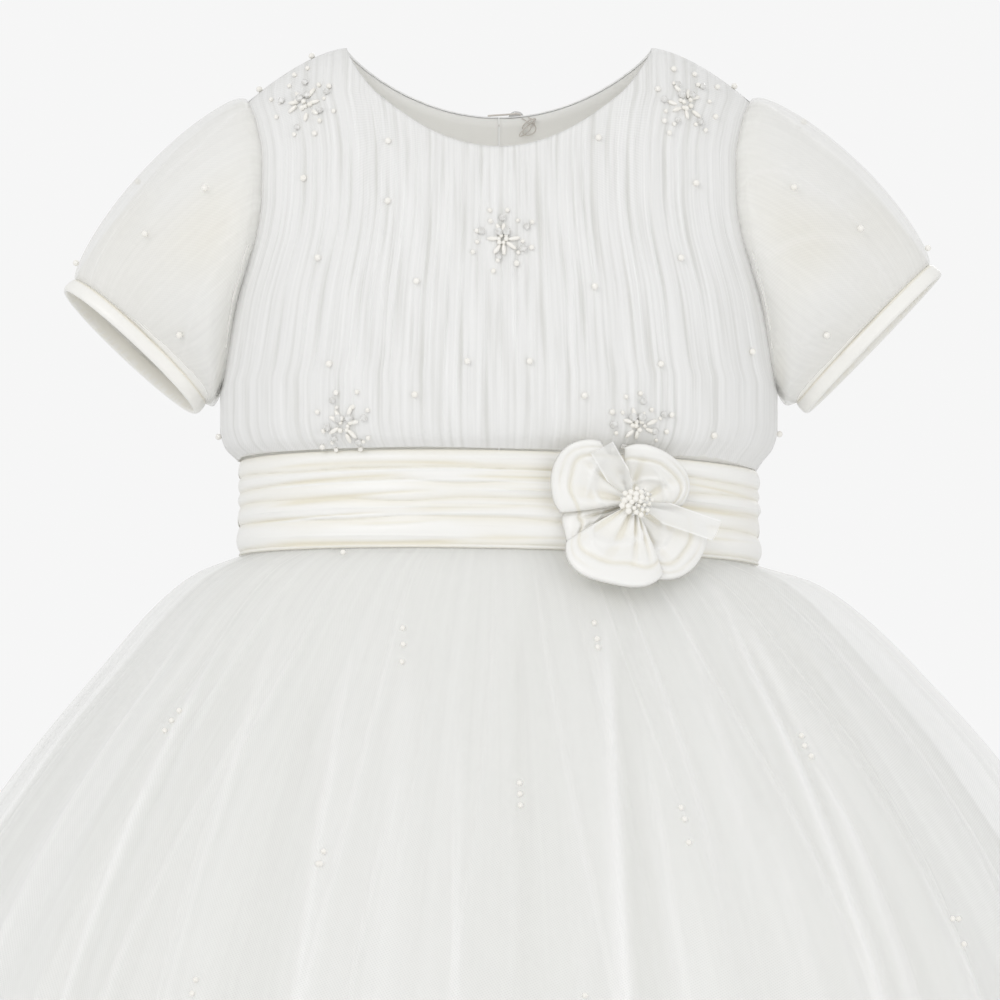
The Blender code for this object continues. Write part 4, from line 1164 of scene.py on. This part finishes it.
# Rosette. Five petals of folded satin, each gathered tight at the middle so that its rim puffs out,
# with two ends of sheer ribbon over them and a cluster of beads sewn on the gathers.
ROSE_X = 0.0598
ROSE_Z = -0.2262
ROSE_CLEAR = 0.0026
PETAL_WALL = 0.0020
PETAL_ROOT = 0.0020
PETAL_RIM = 0.0030
PETAL_FOLD = 0.0011
PETAL_SEAT = 0.0006
PETAL_LEAST = 0.0004
PETAL_CROSSING = 0.0012
PETAL_CRISP = 0.0010
PETAL_GROOVE = 0.0015
PETAL_SECOND = 0.0009
ROSE_LEAN = 0.0215
ROSE_LEAN_RUN = 0.0420
ROSE_TOP_LEAN = 0.0065
ROSE_TOP_START = 0.0080
ROSE_TOP_RUN = 0.0160
# Columns: name, direction, half spread, reach, lift over the sash, folds
PETALS = (
    ("rosette_petal_side", 207.0, 22.0, 0.0335, 0.0002, 2),
    ("rosette_petal_upper_right", 47.0, 53.0, 0.0300, 0.0002, 3),
    ("rosette_petal_upper_left", 153.0, 40.0, 0.0385, 0.0056, 3),
    ("rosette_petal_lower_right", -48.0, 40.0, 0.0405, 0.0030, 3),
    ("rosette_petal_bottom", -109.0, 43.0, 0.0420, 0.0092, 4),
)
RIBBON_GATHER = 0.0100
RIBBON_ARCH = 0.0010
RIBBON_RISE = 0.0016
RIBBON_CLEAR = 0.0010
# Columns: name, direction, start, end, width, lift
RIBBONS = (
    ("rosette_ribbon_upper", 121.0, 0.0045, 0.0285, 0.0110, 0.0102),
    ("rosette_ribbon_side", -20.0, 0.0045, 0.0362, 0.0105, 0.0102),
)


def rose_base(x, z):
    """A point of the sash front under the rosette and its outward direction. Below, it leans out."""
    depth = SASH_FRONT * unit(1.0 - (np.abs(x) / SASH_HALF) ** OVAL) ** (1.0 / OVAL)
    out_x = (np.abs(x) / SASH_HALF) ** (OVAL - 1) / SASH_HALF
    out_y = -((depth / SASH_FRONT) ** (OVAL - 1)) / SASH_FRONT
    size = np.hypot(out_x, out_y)
    below = np.clip((ROSE_Z - z) / ROSE_LEAN_RUN, 0.0, 1.3)
    above = np.clip((z - ROSE_Z - ROSE_TOP_START) / ROSE_TOP_RUN, 0.0, 1.6)
    lean = ROSE_LEAN * below ** 1.6 + ROSE_TOP_LEAN * above ** 1.5
    point = np.stack((x, -depth - lean, z), axis=-1)
    return point, np.stack((out_x / size, out_y / size, 0 * x), axis=-1)


def rose_point(direction, reach, height):
    """A point of the rosette, at a direction and reach from its middle and a height off the sash."""
    x = ROSE_X + reach * np.cos(direction)
    z = ROSE_Z + reach * np.sin(direction)
    point, out = rose_base(x, z)
    return point + out * (height + ROSE_CLEAR)[..., None]


def bell(distance, width):
    """A bell curve: 1 where the distance is nothing."""
    return np.exp(-(distance / width) ** 2)


def petal_pillow(direction, half_spread, reach, lift, folds):
    """A petal's dished upper face with soft radial folds and a rolled double rim, over a plain lower one.

    The upper height is a wall, plus a smooth step up to the rim, less a narrow groove between the
    rim's two rolls, plus cosine folds that die out toward the rim. All of it goes round to nothing at
    the petal's edge, as the root of one less a power of the distance.
    """
    across, out = np.meshgrid(np.linspace(-1.0, 1.0, 101), np.linspace(0.0, 1.0, 46))
    edge = reach * (1.0 - 0.16 * np.abs(across) ** 3 + 0.025 * np.sin(4.0 * across + direction))
    radius = PETAL_ROOT + (edge - PETAL_ROOT) * out
    angle = math.radians(direction) + across * math.radians(half_spread) * (1.0 - 0.10 * out)
    bend = across + 0.16 * np.sin(2.6 * out + direction) * (1.0 - across ** 2)
    turned = math.pi * (bend * folds + 0.5 * np.sin(3.0 * bend + direction))
    folding = 1.0 - 2.0 * (0.5 - 0.5 * np.cos(turned)) ** 2.2
    near = unit(1.0 - out / 0.80) ** 0.8 * rise(out, 0.12)
    step = rise(out - 0.36, 0.36)
    rim = PETAL_RIM * step * step * (3.0 - 2.0 * step)
    wander = 0.030 * np.sin(3.4 * across + direction) + 0.014 * np.sin(8.0 * across + 2.0 * direction)
    groove = bell(out - 0.755 - wander, 0.028)
    partly = unit(0.5 + 0.9 * np.sin(2.2 * across + direction))
    second = bell(out - 0.885 - 0.6 * wander, 0.018) * partly
    fading = rise(out, 0.25) * rise(0.74 - out, 0.15)
    crossing = bell(out - 0.48 - 0.30 * across * math.cos(direction), 0.05) * fading
    crisp = bell(out - 0.60 - 0.09 * np.sin(2.4 * across + 2.0 * direction), 0.026) * partly
    full = (1.0 - np.abs(across) ** 5) ** 0.5 * (1.0 - out ** 9) ** 0.5
    high = (PETAL_WALL + rim + 1.9 * PETAL_FOLD * near * (folding - 0.4) + PETAL_CROSSING * crossing
            + PETAL_CRISP * crisp - PETAL_GROOVE * groove - PETAL_SECOND * second)
    top = lift + PETAL_SEAT + np.maximum(high, PETAL_LEAST) * full
    upper = rose_point(angle, radius, top)
    lower = rose_point(angle, radius, lift + PETAL_SEAT + 0.0 * out)
    # Painted shade: warmer and darker in the dish, in the valleys between the folds and in the rim's
    # grooves, lighter on the crossing and crisp ridges. The plain lower face, under the petal, gets painted
    # shade all over.
    valley = unit(0.3 - folding) * near
    dish = bell(out - 0.42, 0.20)
    painted_shade = 0.15 * dish + 0.75 * valley + 0.62 * groove + 0.35 * second - 0.5 * crossing - 0.4 * crisp
    painted_shade = unit(painted_shade)
    return np.concatenate((upper, lower[::-1])), np.concatenate((painted_shade, 0.3 + 0 * painted_shade))


for name, direction, half_spread, reach, lift, folds in PETALS:
    grid, painted_shade = petal_pillow(direction, half_spread, reach, lift, folds)
    piece = cloth_mesh(name + "_satin", grid, satin, [("painted_shade", painted_shade)])
    close_edges(piece)
    belongs(piece, name)
ribbon_net = skirt_net("ribbon_net", 0.56, 0.90, 700.0)
for name, direction, start, end, width, lift in RIBBONS:
    along, aside = np.meshgrid(np.linspace(start, end, 40), np.linspace(-0.5, 0.5, 25) * width,
                               indexing="ij")
    aside = aside * (0.35 + 0.65 * rise(along - start, RIBBON_GATHER))
    turn = math.radians(direction)
    x = ROSE_X + along * math.cos(turn) - aside * math.sin(turn)
    z = ROSE_Z + along * math.sin(turn) + aside * math.cos(turn)
    arch = RIBBON_ARCH * np.cos(aside / width * math.pi) + RIBBON_RISE * (along - start) / (end - start)
    point, out = rose_base(x, z)
    grid = point + out * (ROSE_CLEAR + lift + arch + RIBBON_CLEAR)[..., None]
    # The ribbon's doubled hem is denser, and painted whiter with the net's painted highlight
    hem = rise(np.abs(aside) / width - 0.44, 0.04)
    piece = cloth_mesh(name + "_net", grid, ribbon_net, [("fold", hem)], flip=True)
    belongs(piece, name)

# Beads. Sprays of pearls, rice beads and small crystals are sewn on the bodice, single pearls on
# bodice and sleeves, groups of three on the skirt, and a tight cluster in the rosette's middle.
# Their places are given as seen in the photograph, in pixels of its 1000 by 1000 frame.
PEARL = 0.0031
PEARL_SEAT = 0.8
SKIRT_PEARL_HALF = 0.0013
SKIRT_PEARL_LIFT = 0.0011
CRYSTAL_SEAT = 0.7
RICE_BEAD_LIFT = 0.0009
RICE_BEADS = 7
RICE_HALF_LONG = (0.0023, 0.0030)
RICE_HALF_WIDE = 0.0011
RICE_HALF_HIGH = 0.0010
SPRAYS = (
    ("spray_shoulder_right", (305, 105), 3),
    ("spray_shoulder_left", (685, 105), 5),
    ("spray_chest", (503, 240), 8),
    ("spray_waist_right", (345, 425), 11),
    ("spray_waist_left", (638, 425), 16),
)
BODICE_PEARLS = (
    (388, 142), (305, 181), (387, 203), (319, 258), (416, 282), (330, 364), (467, 362), (415, 395),
    (310, 52), (258, 88), (599, 139), (694, 185), (680, 259), (595, 287), (531, 363), (660, 364),
    (751, 352), (584, 397), (713, 435), (778, 433), (681, 60), (734, 87),
)
RIGHT_SLEEVE_PEARLS = ((136, 180), (205, 191), (146, 235), (181, 334), (75, 262))
LEFT_SLEEVE_PEARLS = ((807, 119), (793, 187), (858, 229), (826, 334), (930, 246))
SKIRT_PEARLS = (
    (403, 633), (403, 647), (403, 661), (181, 716), (173, 726), (166, 737), (324, 858), (321, 864),
    (318, 870), (197, 987), (192, 997), (594, 627), (597, 637), (597, 645), (520, 781), (520, 794),
    (521, 804), (682, 811), (684, 826), (688, 838), (800, 738), (803, 748), (810, 761), (951, 918),
    (957, 926), (962, 939), (584, 992), (343, 556),
)


def pearl_lustre():
    """Glass pearl: creamy white under a clear coat, with a faint uneven warmth."""
    material, shader = new_finish("pearl_lustre", (0.92, 0.90, 0.85), 0.30, Coat_Weight=0.4,
                                  Coat_Roughness=0.10, Sheen_Weight=0.2, Specular_IOR_Level=0.5)
    two_tone(material, shader, mottle(material, 260.0), (0.91, 0.88, 0.81), (0.96, 0.95, 0.92))
    return material


def cut_crystal():
    """Clear cut glass, its colour painted in small cells from dark to bright as painted reflections of its
    facets.
    """
    material, shader = new_finish("cut_crystal", (0.86, 0.85, 0.83), 0.10, Transmission_Weight=0.10,
                                  IOR=1.52, Coat_Weight=0.5, Coat_Roughness=0.03)
    place = add_node(material, "TexCoord")
    facet_reflections = add_node(material, "TexVoronoi", [("Vector", place.outputs["Object"]), ("Scale", 700.0)])
    # Painted reflections: the base colour runs from dark grey to near white across each small cell
    two_tone(material, shader, facet_reflections.outputs["Distance"], (0.66, 0.65, 0.62), (0.95, 0.95, 0.94))
    return material


def photo_place(points):
    """Where points fall in the photograph's frame, in pixels from its top left corner."""
    turn = np.array(camera.rotation_euler.to_matrix())
    seen = (points - np.array(CAMERA_PLACE)) @ turn
    scale = camera_data.lens / SENSOR_MM * PICTURE_PIXELS / -seen[..., 2]
    middle = PICTURE_PIXELS / 2
    return np.stack((middle + seen[..., 0] * scale, middle - seen[..., 1] * scale), axis=-1)


def cloth_sides(grid):
    """A grid's points in one list, and the direction straight off the cloth at each."""
    side = np.cross(np.gradient(grid, axis=1), np.gradient(grid, axis=0))
    side /= np.maximum(np.linalg.norm(side, axis=-1, keepdims=True), 1e-12)
    return grid.reshape(-1, 3), side.reshape(-1, 3)


def on_cloth(grid, places):
    """The cloth's points nearest to places in the photograph, and its directions toward the viewer."""
    points, side = cloth_sides(grid)
    facing = np.array(CAMERA_PLACE) - points
    side = side * np.sign((side * facing).sum(axis=-1, keepdims=True) + 1e-9)
    kept = points[:, 1] < 0.004
    points = points[kept]
    side = side[kept]
    seen = photo_place(points)
    nearest = [np.argmin(((seen - np.array(place)) ** 2).sum(axis=-1)) for place in places]
    return points[nearest], side[nearest]


def ball(segments, rings):
    """A unit ball: rings of latitude between two poles, in quads with a fan at each pole."""
    high = np.linspace(0.0, math.pi, rings + 2)[1:-1, None]
    turn = full_turn(segments)[None, :]
    level = np.cos(high) + 0 * turn
    ring = np.stack((np.sin(high) * np.cos(turn), np.sin(high) * np.sin(turn), level), axis=-1)
    points = np.concatenate((ring.reshape(-1, 3), ((0.0, 0.0, 1.0), (0.0, 0.0, -1.0))))
    ids = np.arange(rings * segments).reshape(rings, segments)
    ids = np.concatenate((ids, ids[:, :1]), axis=1)
    quads = np.stack((ids[:-1, :-1], ids[1:, :-1], ids[1:, 1:], ids[:-1, 1:]), axis=-1)
    quads = quads.reshape(-1, 4).tolist()
    north, south = rings * segments, rings * segments + 1
    fans = [(north, ids[0, i], ids[0, i + 1]) for i in range(segments)]
    fans += [(south, ids[-1, i + 1], ids[-1, i]) for i in range(segments)]
    return points, quads + [tuple(int(i) for i in fan) for fan in fans]


def sew_beads(name, centres, outward, sizes, material, along=None, segments=8, rings=5, smooth=True):
    """Many beads as one mesh: a ball scaled by each bead's sizes along its own axes, at its place.

    The sizes are half lengths: along the bead, across it, and off the cloth.
    """
    centres = np.asarray(centres, dtype=float)
    outward = np.asarray(outward, dtype=float)
    sizes = np.broadcast_to(np.asarray(sizes, dtype=float), centres.shape)
    if along is None:
        along = np.broadcast_to(np.array((0.0, 0.0, 1.0)), centres.shape)
    across = np.cross(outward, along)
    across /= np.maximum(np.linalg.norm(across, axis=-1, keepdims=True), 1e-9)
    along = np.cross(across, outward)
    shape, faces = ball(segments, rings)
    scaled = shape[None] * sizes[:, (1, 2, 0)][:, None, :]
    points = (centres[:, None] + scaled[..., 0:1] * across[:, None] + scaled[..., 1:2] * outward[:, None]
              + scaled[..., 2:3] * along[:, None])
    count = len(shape)
    every = [[corner + first for corner in face]
             for first in range(0, len(centres) * count, count) for face in faces]
    mesh = bpy.data.meshes.new(name)
    mesh.from_pydata(points.reshape(-1, 3).tolist(), [], every)
    if smooth:
        mesh.shade_smooth()
    mesh.materials.append(material)
    piece = in_studio(name, mesh)
    close_edges(piece)
    belongs(piece)
    return piece


pearl = pearl_lustre()
crystal = cut_crystal()


def sew_pearls(name, points, out, half, segments=8, rings=5):
    """Round pearls, of one half size or one each, with their middles most of it off the cloth."""
    half = np.broadcast_to(half, len(points))[:, None]
    sew_beads(name, points + out * half * PEARL_SEAT, out, np.repeat(half, 3, axis=1), pearl,
              segments=segments, rings=rings)


def bead_spray(name, middle, seed):
    """A loose spray: a crystal among pearls, rice beads radiating from it, and pearls scattered round."""
    dice = np.random.default_rng(seed)
    middle = np.array(middle, dtype=float)

    def around(count, near, far, turn):
        """Places round the middle, evenly turned with some play, at reaches between near and far."""
        angle = turn + (np.arange(count) + dice.uniform(-0.3, 0.3, count)) * 2 * math.pi / count
        reach = dice.uniform(near, far, count)
        return middle + np.stack((np.cos(angle), -np.sin(angle)), axis=-1) * reach[:, None], angle

    rice, angle = around(RICE_BEADS, 9.0, 15.0, 0.3)
    points, out = on_cloth(front_of_bodice, rice)
    along = np.stack((np.cos(angle), 0 * angle, np.sin(angle)), axis=-1)
    long = dice.uniform(*RICE_HALF_LONG, RICE_BEADS)
    sizes = np.stack((long, RICE_HALF_WIDE + 0 * long, RICE_HALF_HIGH + 0 * long), axis=-1)
    sew_beads(name + "_rice_beads", points + out * RICE_BEAD_LIFT, out, sizes, pearl, along=along)
    close, _ = around(6, 3.0, 7.5, 0.9)
    ring, _ = around(6, 19.0, 25.0, 0.1)
    far, _ = around(8, 27.0, 36.0, 0.5)
    places = np.concatenate((close, ring, far))
    half = np.concatenate((dice.uniform(0.0010, 0.0014, 6), dice.uniform(0.0009, 0.0012, 6),
                           dice.uniform(0.0011, 0.0014, 8)))
    points, out = on_cloth(front_of_bodice, places)
    sew_pearls(name + "_pearls", points, out, half)
    drops, _ = around(5, 17.0, 29.0, 1.7)
    places = np.concatenate((middle[None] + (-5.0, -7.0), middle[None] + (4.0, -8.0), drops))
    half = np.array((0.0021, 0.0021, 0.0017, 0.0018, 0.0016, 0.0018, 0.0017))
    points, out = on_cloth(front_of_bodice, places)
    sew_beads(name + "_crystals", points + out * half[:, None] * CRYSTAL_SEAT, out,
              np.stack((half, half, half * 0.75), axis=-1), crystal, segments=8, rings=3, smooth=False)


for name, middle, seed in SPRAYS:
    bead_spray(name, middle, seed)
for name, grid, places in (
    ("bodice_front_pearls", front_of_bodice, BODICE_PEARLS),
    ("sleeve_right_pearls", right_sleeve, RIGHT_SLEEVE_PEARLS),
    ("sleeve_left_pearls", left_sleeve, LEFT_SLEEVE_PEARLS),
):
    points, out = on_cloth(grid, places)
    sew_pearls(name, points, out, PEARL / 2, segments=10, rings=6)
    if name == "bodice_front_pearls":
        front_points = points
points, out = on_cloth(outer_skirt["front"], SKIRT_PEARLS)
sew_beads("skirt_front_pearls", points + out * SKIRT_PEARL_LIFT, out, SKIRT_PEARL_HALF, pearl)


def nearest_at(grid, points):
    """The grid's points nearest in x and z to some points, and the cloth's direction away from the body."""
    cloth, side = cloth_sides(grid)
    side = side * np.sign(side[:, 1:2] + 1e-9)
    nearest = [np.argmin((cloth[:, 0] - p[0]) ** 2 + (cloth[:, 2] - p[2]) ** 2) for p in points]
    return cloth[nearest], side[nearest]


# Behind, the single pearls lie as they do in front, turned about
behind = front_points * np.array((-1.0, 1.0, 1.0))
for name, grid, of_side in (("bodice_back_right_pearls", back_of_bodice[0], behind[:, 0] < -0.006),
                            ("bodice_back_left_pearls", back_of_bodice[1], behind[:, 0] > 0.006)):
    chosen = behind[of_side & (behind[:, 2] < -0.030)]
    points, out = nearest_at(grid, chosen)
    sew_pearls(name, points, out, PEARL / 2, segments=10, rings=6)
front_skirt_points, _ = on_cloth(outer_skirt["front"], SKIRT_PEARLS)
points, out = nearest_at(outer_skirt["back"], front_skirt_points * np.array((-1.0, 1.0, 1.0)))
sew_beads("skirt_back_pearls", points + out * SKIRT_PEARL_LIFT, out, SKIRT_PEARL_HALF, pearl)

# The rosette's cluster: pearls on a low dome, with seed beads between
CLUSTER_REACH = 0.0068
CLUSTER_LIFT = 0.0128
CLUSTER_HEIGHT = 0.0046
CLUSTER_PEARLS = 26
GOLDEN_TURN = math.radians(137.5)
SEED_HALF = 0.0008
order = np.arange(CLUSTER_PEARLS)
reach = CLUSTER_REACH * np.sqrt((order + 0.4) / CLUSTER_PEARLS)
turn = order * GOLDEN_TURN
dome = CLUSTER_LIFT + CLUSTER_HEIGHT * np.sqrt(unit(1.0 - (reach / (1.25 * CLUSTER_REACH)) ** 2))
points = rose_point(turn, reach, dome)
_, out = rose_base(points[:, 0], points[:, 2])
sizes = 0.00125 + 0.00035 * np.sin(order * 2.3)
cluster = sew_beads("rosette_cluster_pearls", points, out, np.repeat(sizes[:, None], 3, axis=1), pearl,
                    segments=12, rings=7)
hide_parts("rosette_centre")
reach = CLUSTER_REACH * np.sqrt((order + 0.9) / CLUSTER_PEARLS)
points = rose_point(turn + 1.9, reach, dome - 0.0004)
sew_beads("rosette_cluster_seeds", points, out, SEED_HALF, crystal, segments=6, rings=3, smooth=False)

# Back fastening. A small clear button on a thread shank and a thread loop from the other edge close
# the top of the back opening; below it the edges meet edge to edge.
BUTTON_X = 0.0085
BUTTON_Z = -0.0292
BUTTON_SEAT = 0.0012
BUTTON_SIDES = 40
LOOP_REACH = 0.0030
LOOP_CORD = 0.0005
KNOT_CORD = 0.00028
KNOT_X = 0.0142
KNOT_Z = -0.0308
KNOT_IN = 0.0022
# Columns: radius, height off the cloth
BUTTON_SECTION = (
    (0.0001, 0.0000),
    (0.0011, 0.0001),
    (0.0011, 0.0015),
    (0.0024, 0.0016),
    (0.0034, 0.0018),
    (0.0039, 0.0022),
    (0.0040, 0.0026),
    (0.0038, 0.0030),
    (0.0032, 0.0032),
    (0.0026, 0.0030),
    (0.0018, 0.0029),
    (0.0001, 0.0029),
)


def back_surface(x, z):
    """Points of the back panel's face and the outward directions there."""
    x = np.asarray(x, dtype=float)
    z = np.asarray(z, dtype=float)
    return np.stack((x, body_depth(x, z, True), z), axis=-1), body_out(x, z, True)


def turned_button():
    """A profile turned about the button's axis, which stands straight out of the back."""
    middle, out = back_surface(BUTTON_X, BUTTON_Z)
    side = direction_of(np.cross(out, (0.0, 0.0, 1.0)))
    up = np.cross(side, out)
    angle = full_turn(BUTTON_SIDES)[None, :, None]
    profile = np.array(BUTTON_SECTION)[:, None, :]
    ring = np.cos(angle) * side + np.sin(angle) * up
    return middle + out * (BUTTON_SEAT + profile[..., 1:2]) + ring * profile[..., 0:1]


def tube(path, outs, radius, sides=8):
    """A round thread along a path: rings of points turned about each of the path's directions."""
    ahead = direction_of(np.gradient(path, axis=0))
    out = direction_of(outs - ahead * (outs * ahead).sum(axis=-1, keepdims=True))
    aside = np.cross(ahead, out)
    turn = full_turn(sides)[None, :, None]
    return path[:, None] + radius * (np.cos(turn) * out[:, None] + np.sin(turn) * aside[:, None])


def clear_button():
    """Clear moulded button with faint flow marks."""
    material, shader = new_finish("clear_button", (0.86, 0.86, 0.86), 0.12, Transmission_Weight=0.5,
                                  IOR=1.49, Coat_Weight=0.3)
    two_tone(material, shader, mottle(material, 220.0), (0.78, 0.78, 0.77), (0.93, 0.93, 0.93))
    return material


def sewing_thread():
    """Taupe twisted thread: fine slanting bands along its length."""
    material, shader = new_finish("sewing_thread", (0.42, 0.39, 0.36), 0.7)
    cloth = add_node(material, "UVMap", uv_map="cloth")
    twist = add_node(material, "TexWave", [
        ("Vector", cloth.outputs[0]), ("Scale", 900.0), ("Distortion", 0.2)], bands_direction="DIAGONAL")
    two_tone(material, shader, twist.outputs["Fac"], (0.56, 0.52, 0.48), (0.76, 0.73, 0.69))
    return material


thread = sewing_thread()
grid = turned_button()
button = cloth_mesh("back_button_disc", grid, clear_button(), closed=True)
close_edges(button)
belongs(button, "back_button")

angle = np.radians(np.linspace(-112.0, 112.0, 25))
ends = np.linspace(-0.0055, BUTTON_X + LOOP_REACH * math.cos(angle[0]), 12)[:-1]
x = np.concatenate((ends, BUTTON_X + LOOP_REACH * np.cos(angle), ends[::-1]))
low_run = BUTTON_Z + np.linspace(-0.0020, LOOP_REACH * math.sin(angle[0]), 12)[:-1]
high_run = BUTTON_Z + np.linspace(LOOP_REACH * math.sin(angle[-1]), 0.0020, 12)[1:]
z = np.concatenate((low_run, BUTTON_Z + LOOP_REACH * np.sin(angle), high_run))
path, outs = back_surface(x, z)
grid = tube(path + outs * (BUTTON_SEAT + LOOP_CORD), outs, LOOP_CORD)
loop = cloth_mesh("button_loop_thread", grid, thread, closed=True)
belongs(loop, "button_loop")

# The button's thread ends in a loose knot inside the neck
turn = np.linspace(0.0, 1.0, 160)
x = KNOT_X + 0.0030 * np.sin(17.0 * turn) + 0.0012 * np.sin(41.0 * turn)
z = KNOT_Z + 0.0032 * np.cos(13.0 * turn) + 0.0010 * np.cos(37.0 * turn)
path, outs = back_surface(x, z)
grid = tube(path - outs * (KNOT_IN + 0.0008 * np.sin(29.0 * turn))[:, None], outs, KNOT_CORD, 6)
knot = cloth_mesh("button_thread_knot", grid, thread, closed=True)
belongs(knot)

low, high = cad_box
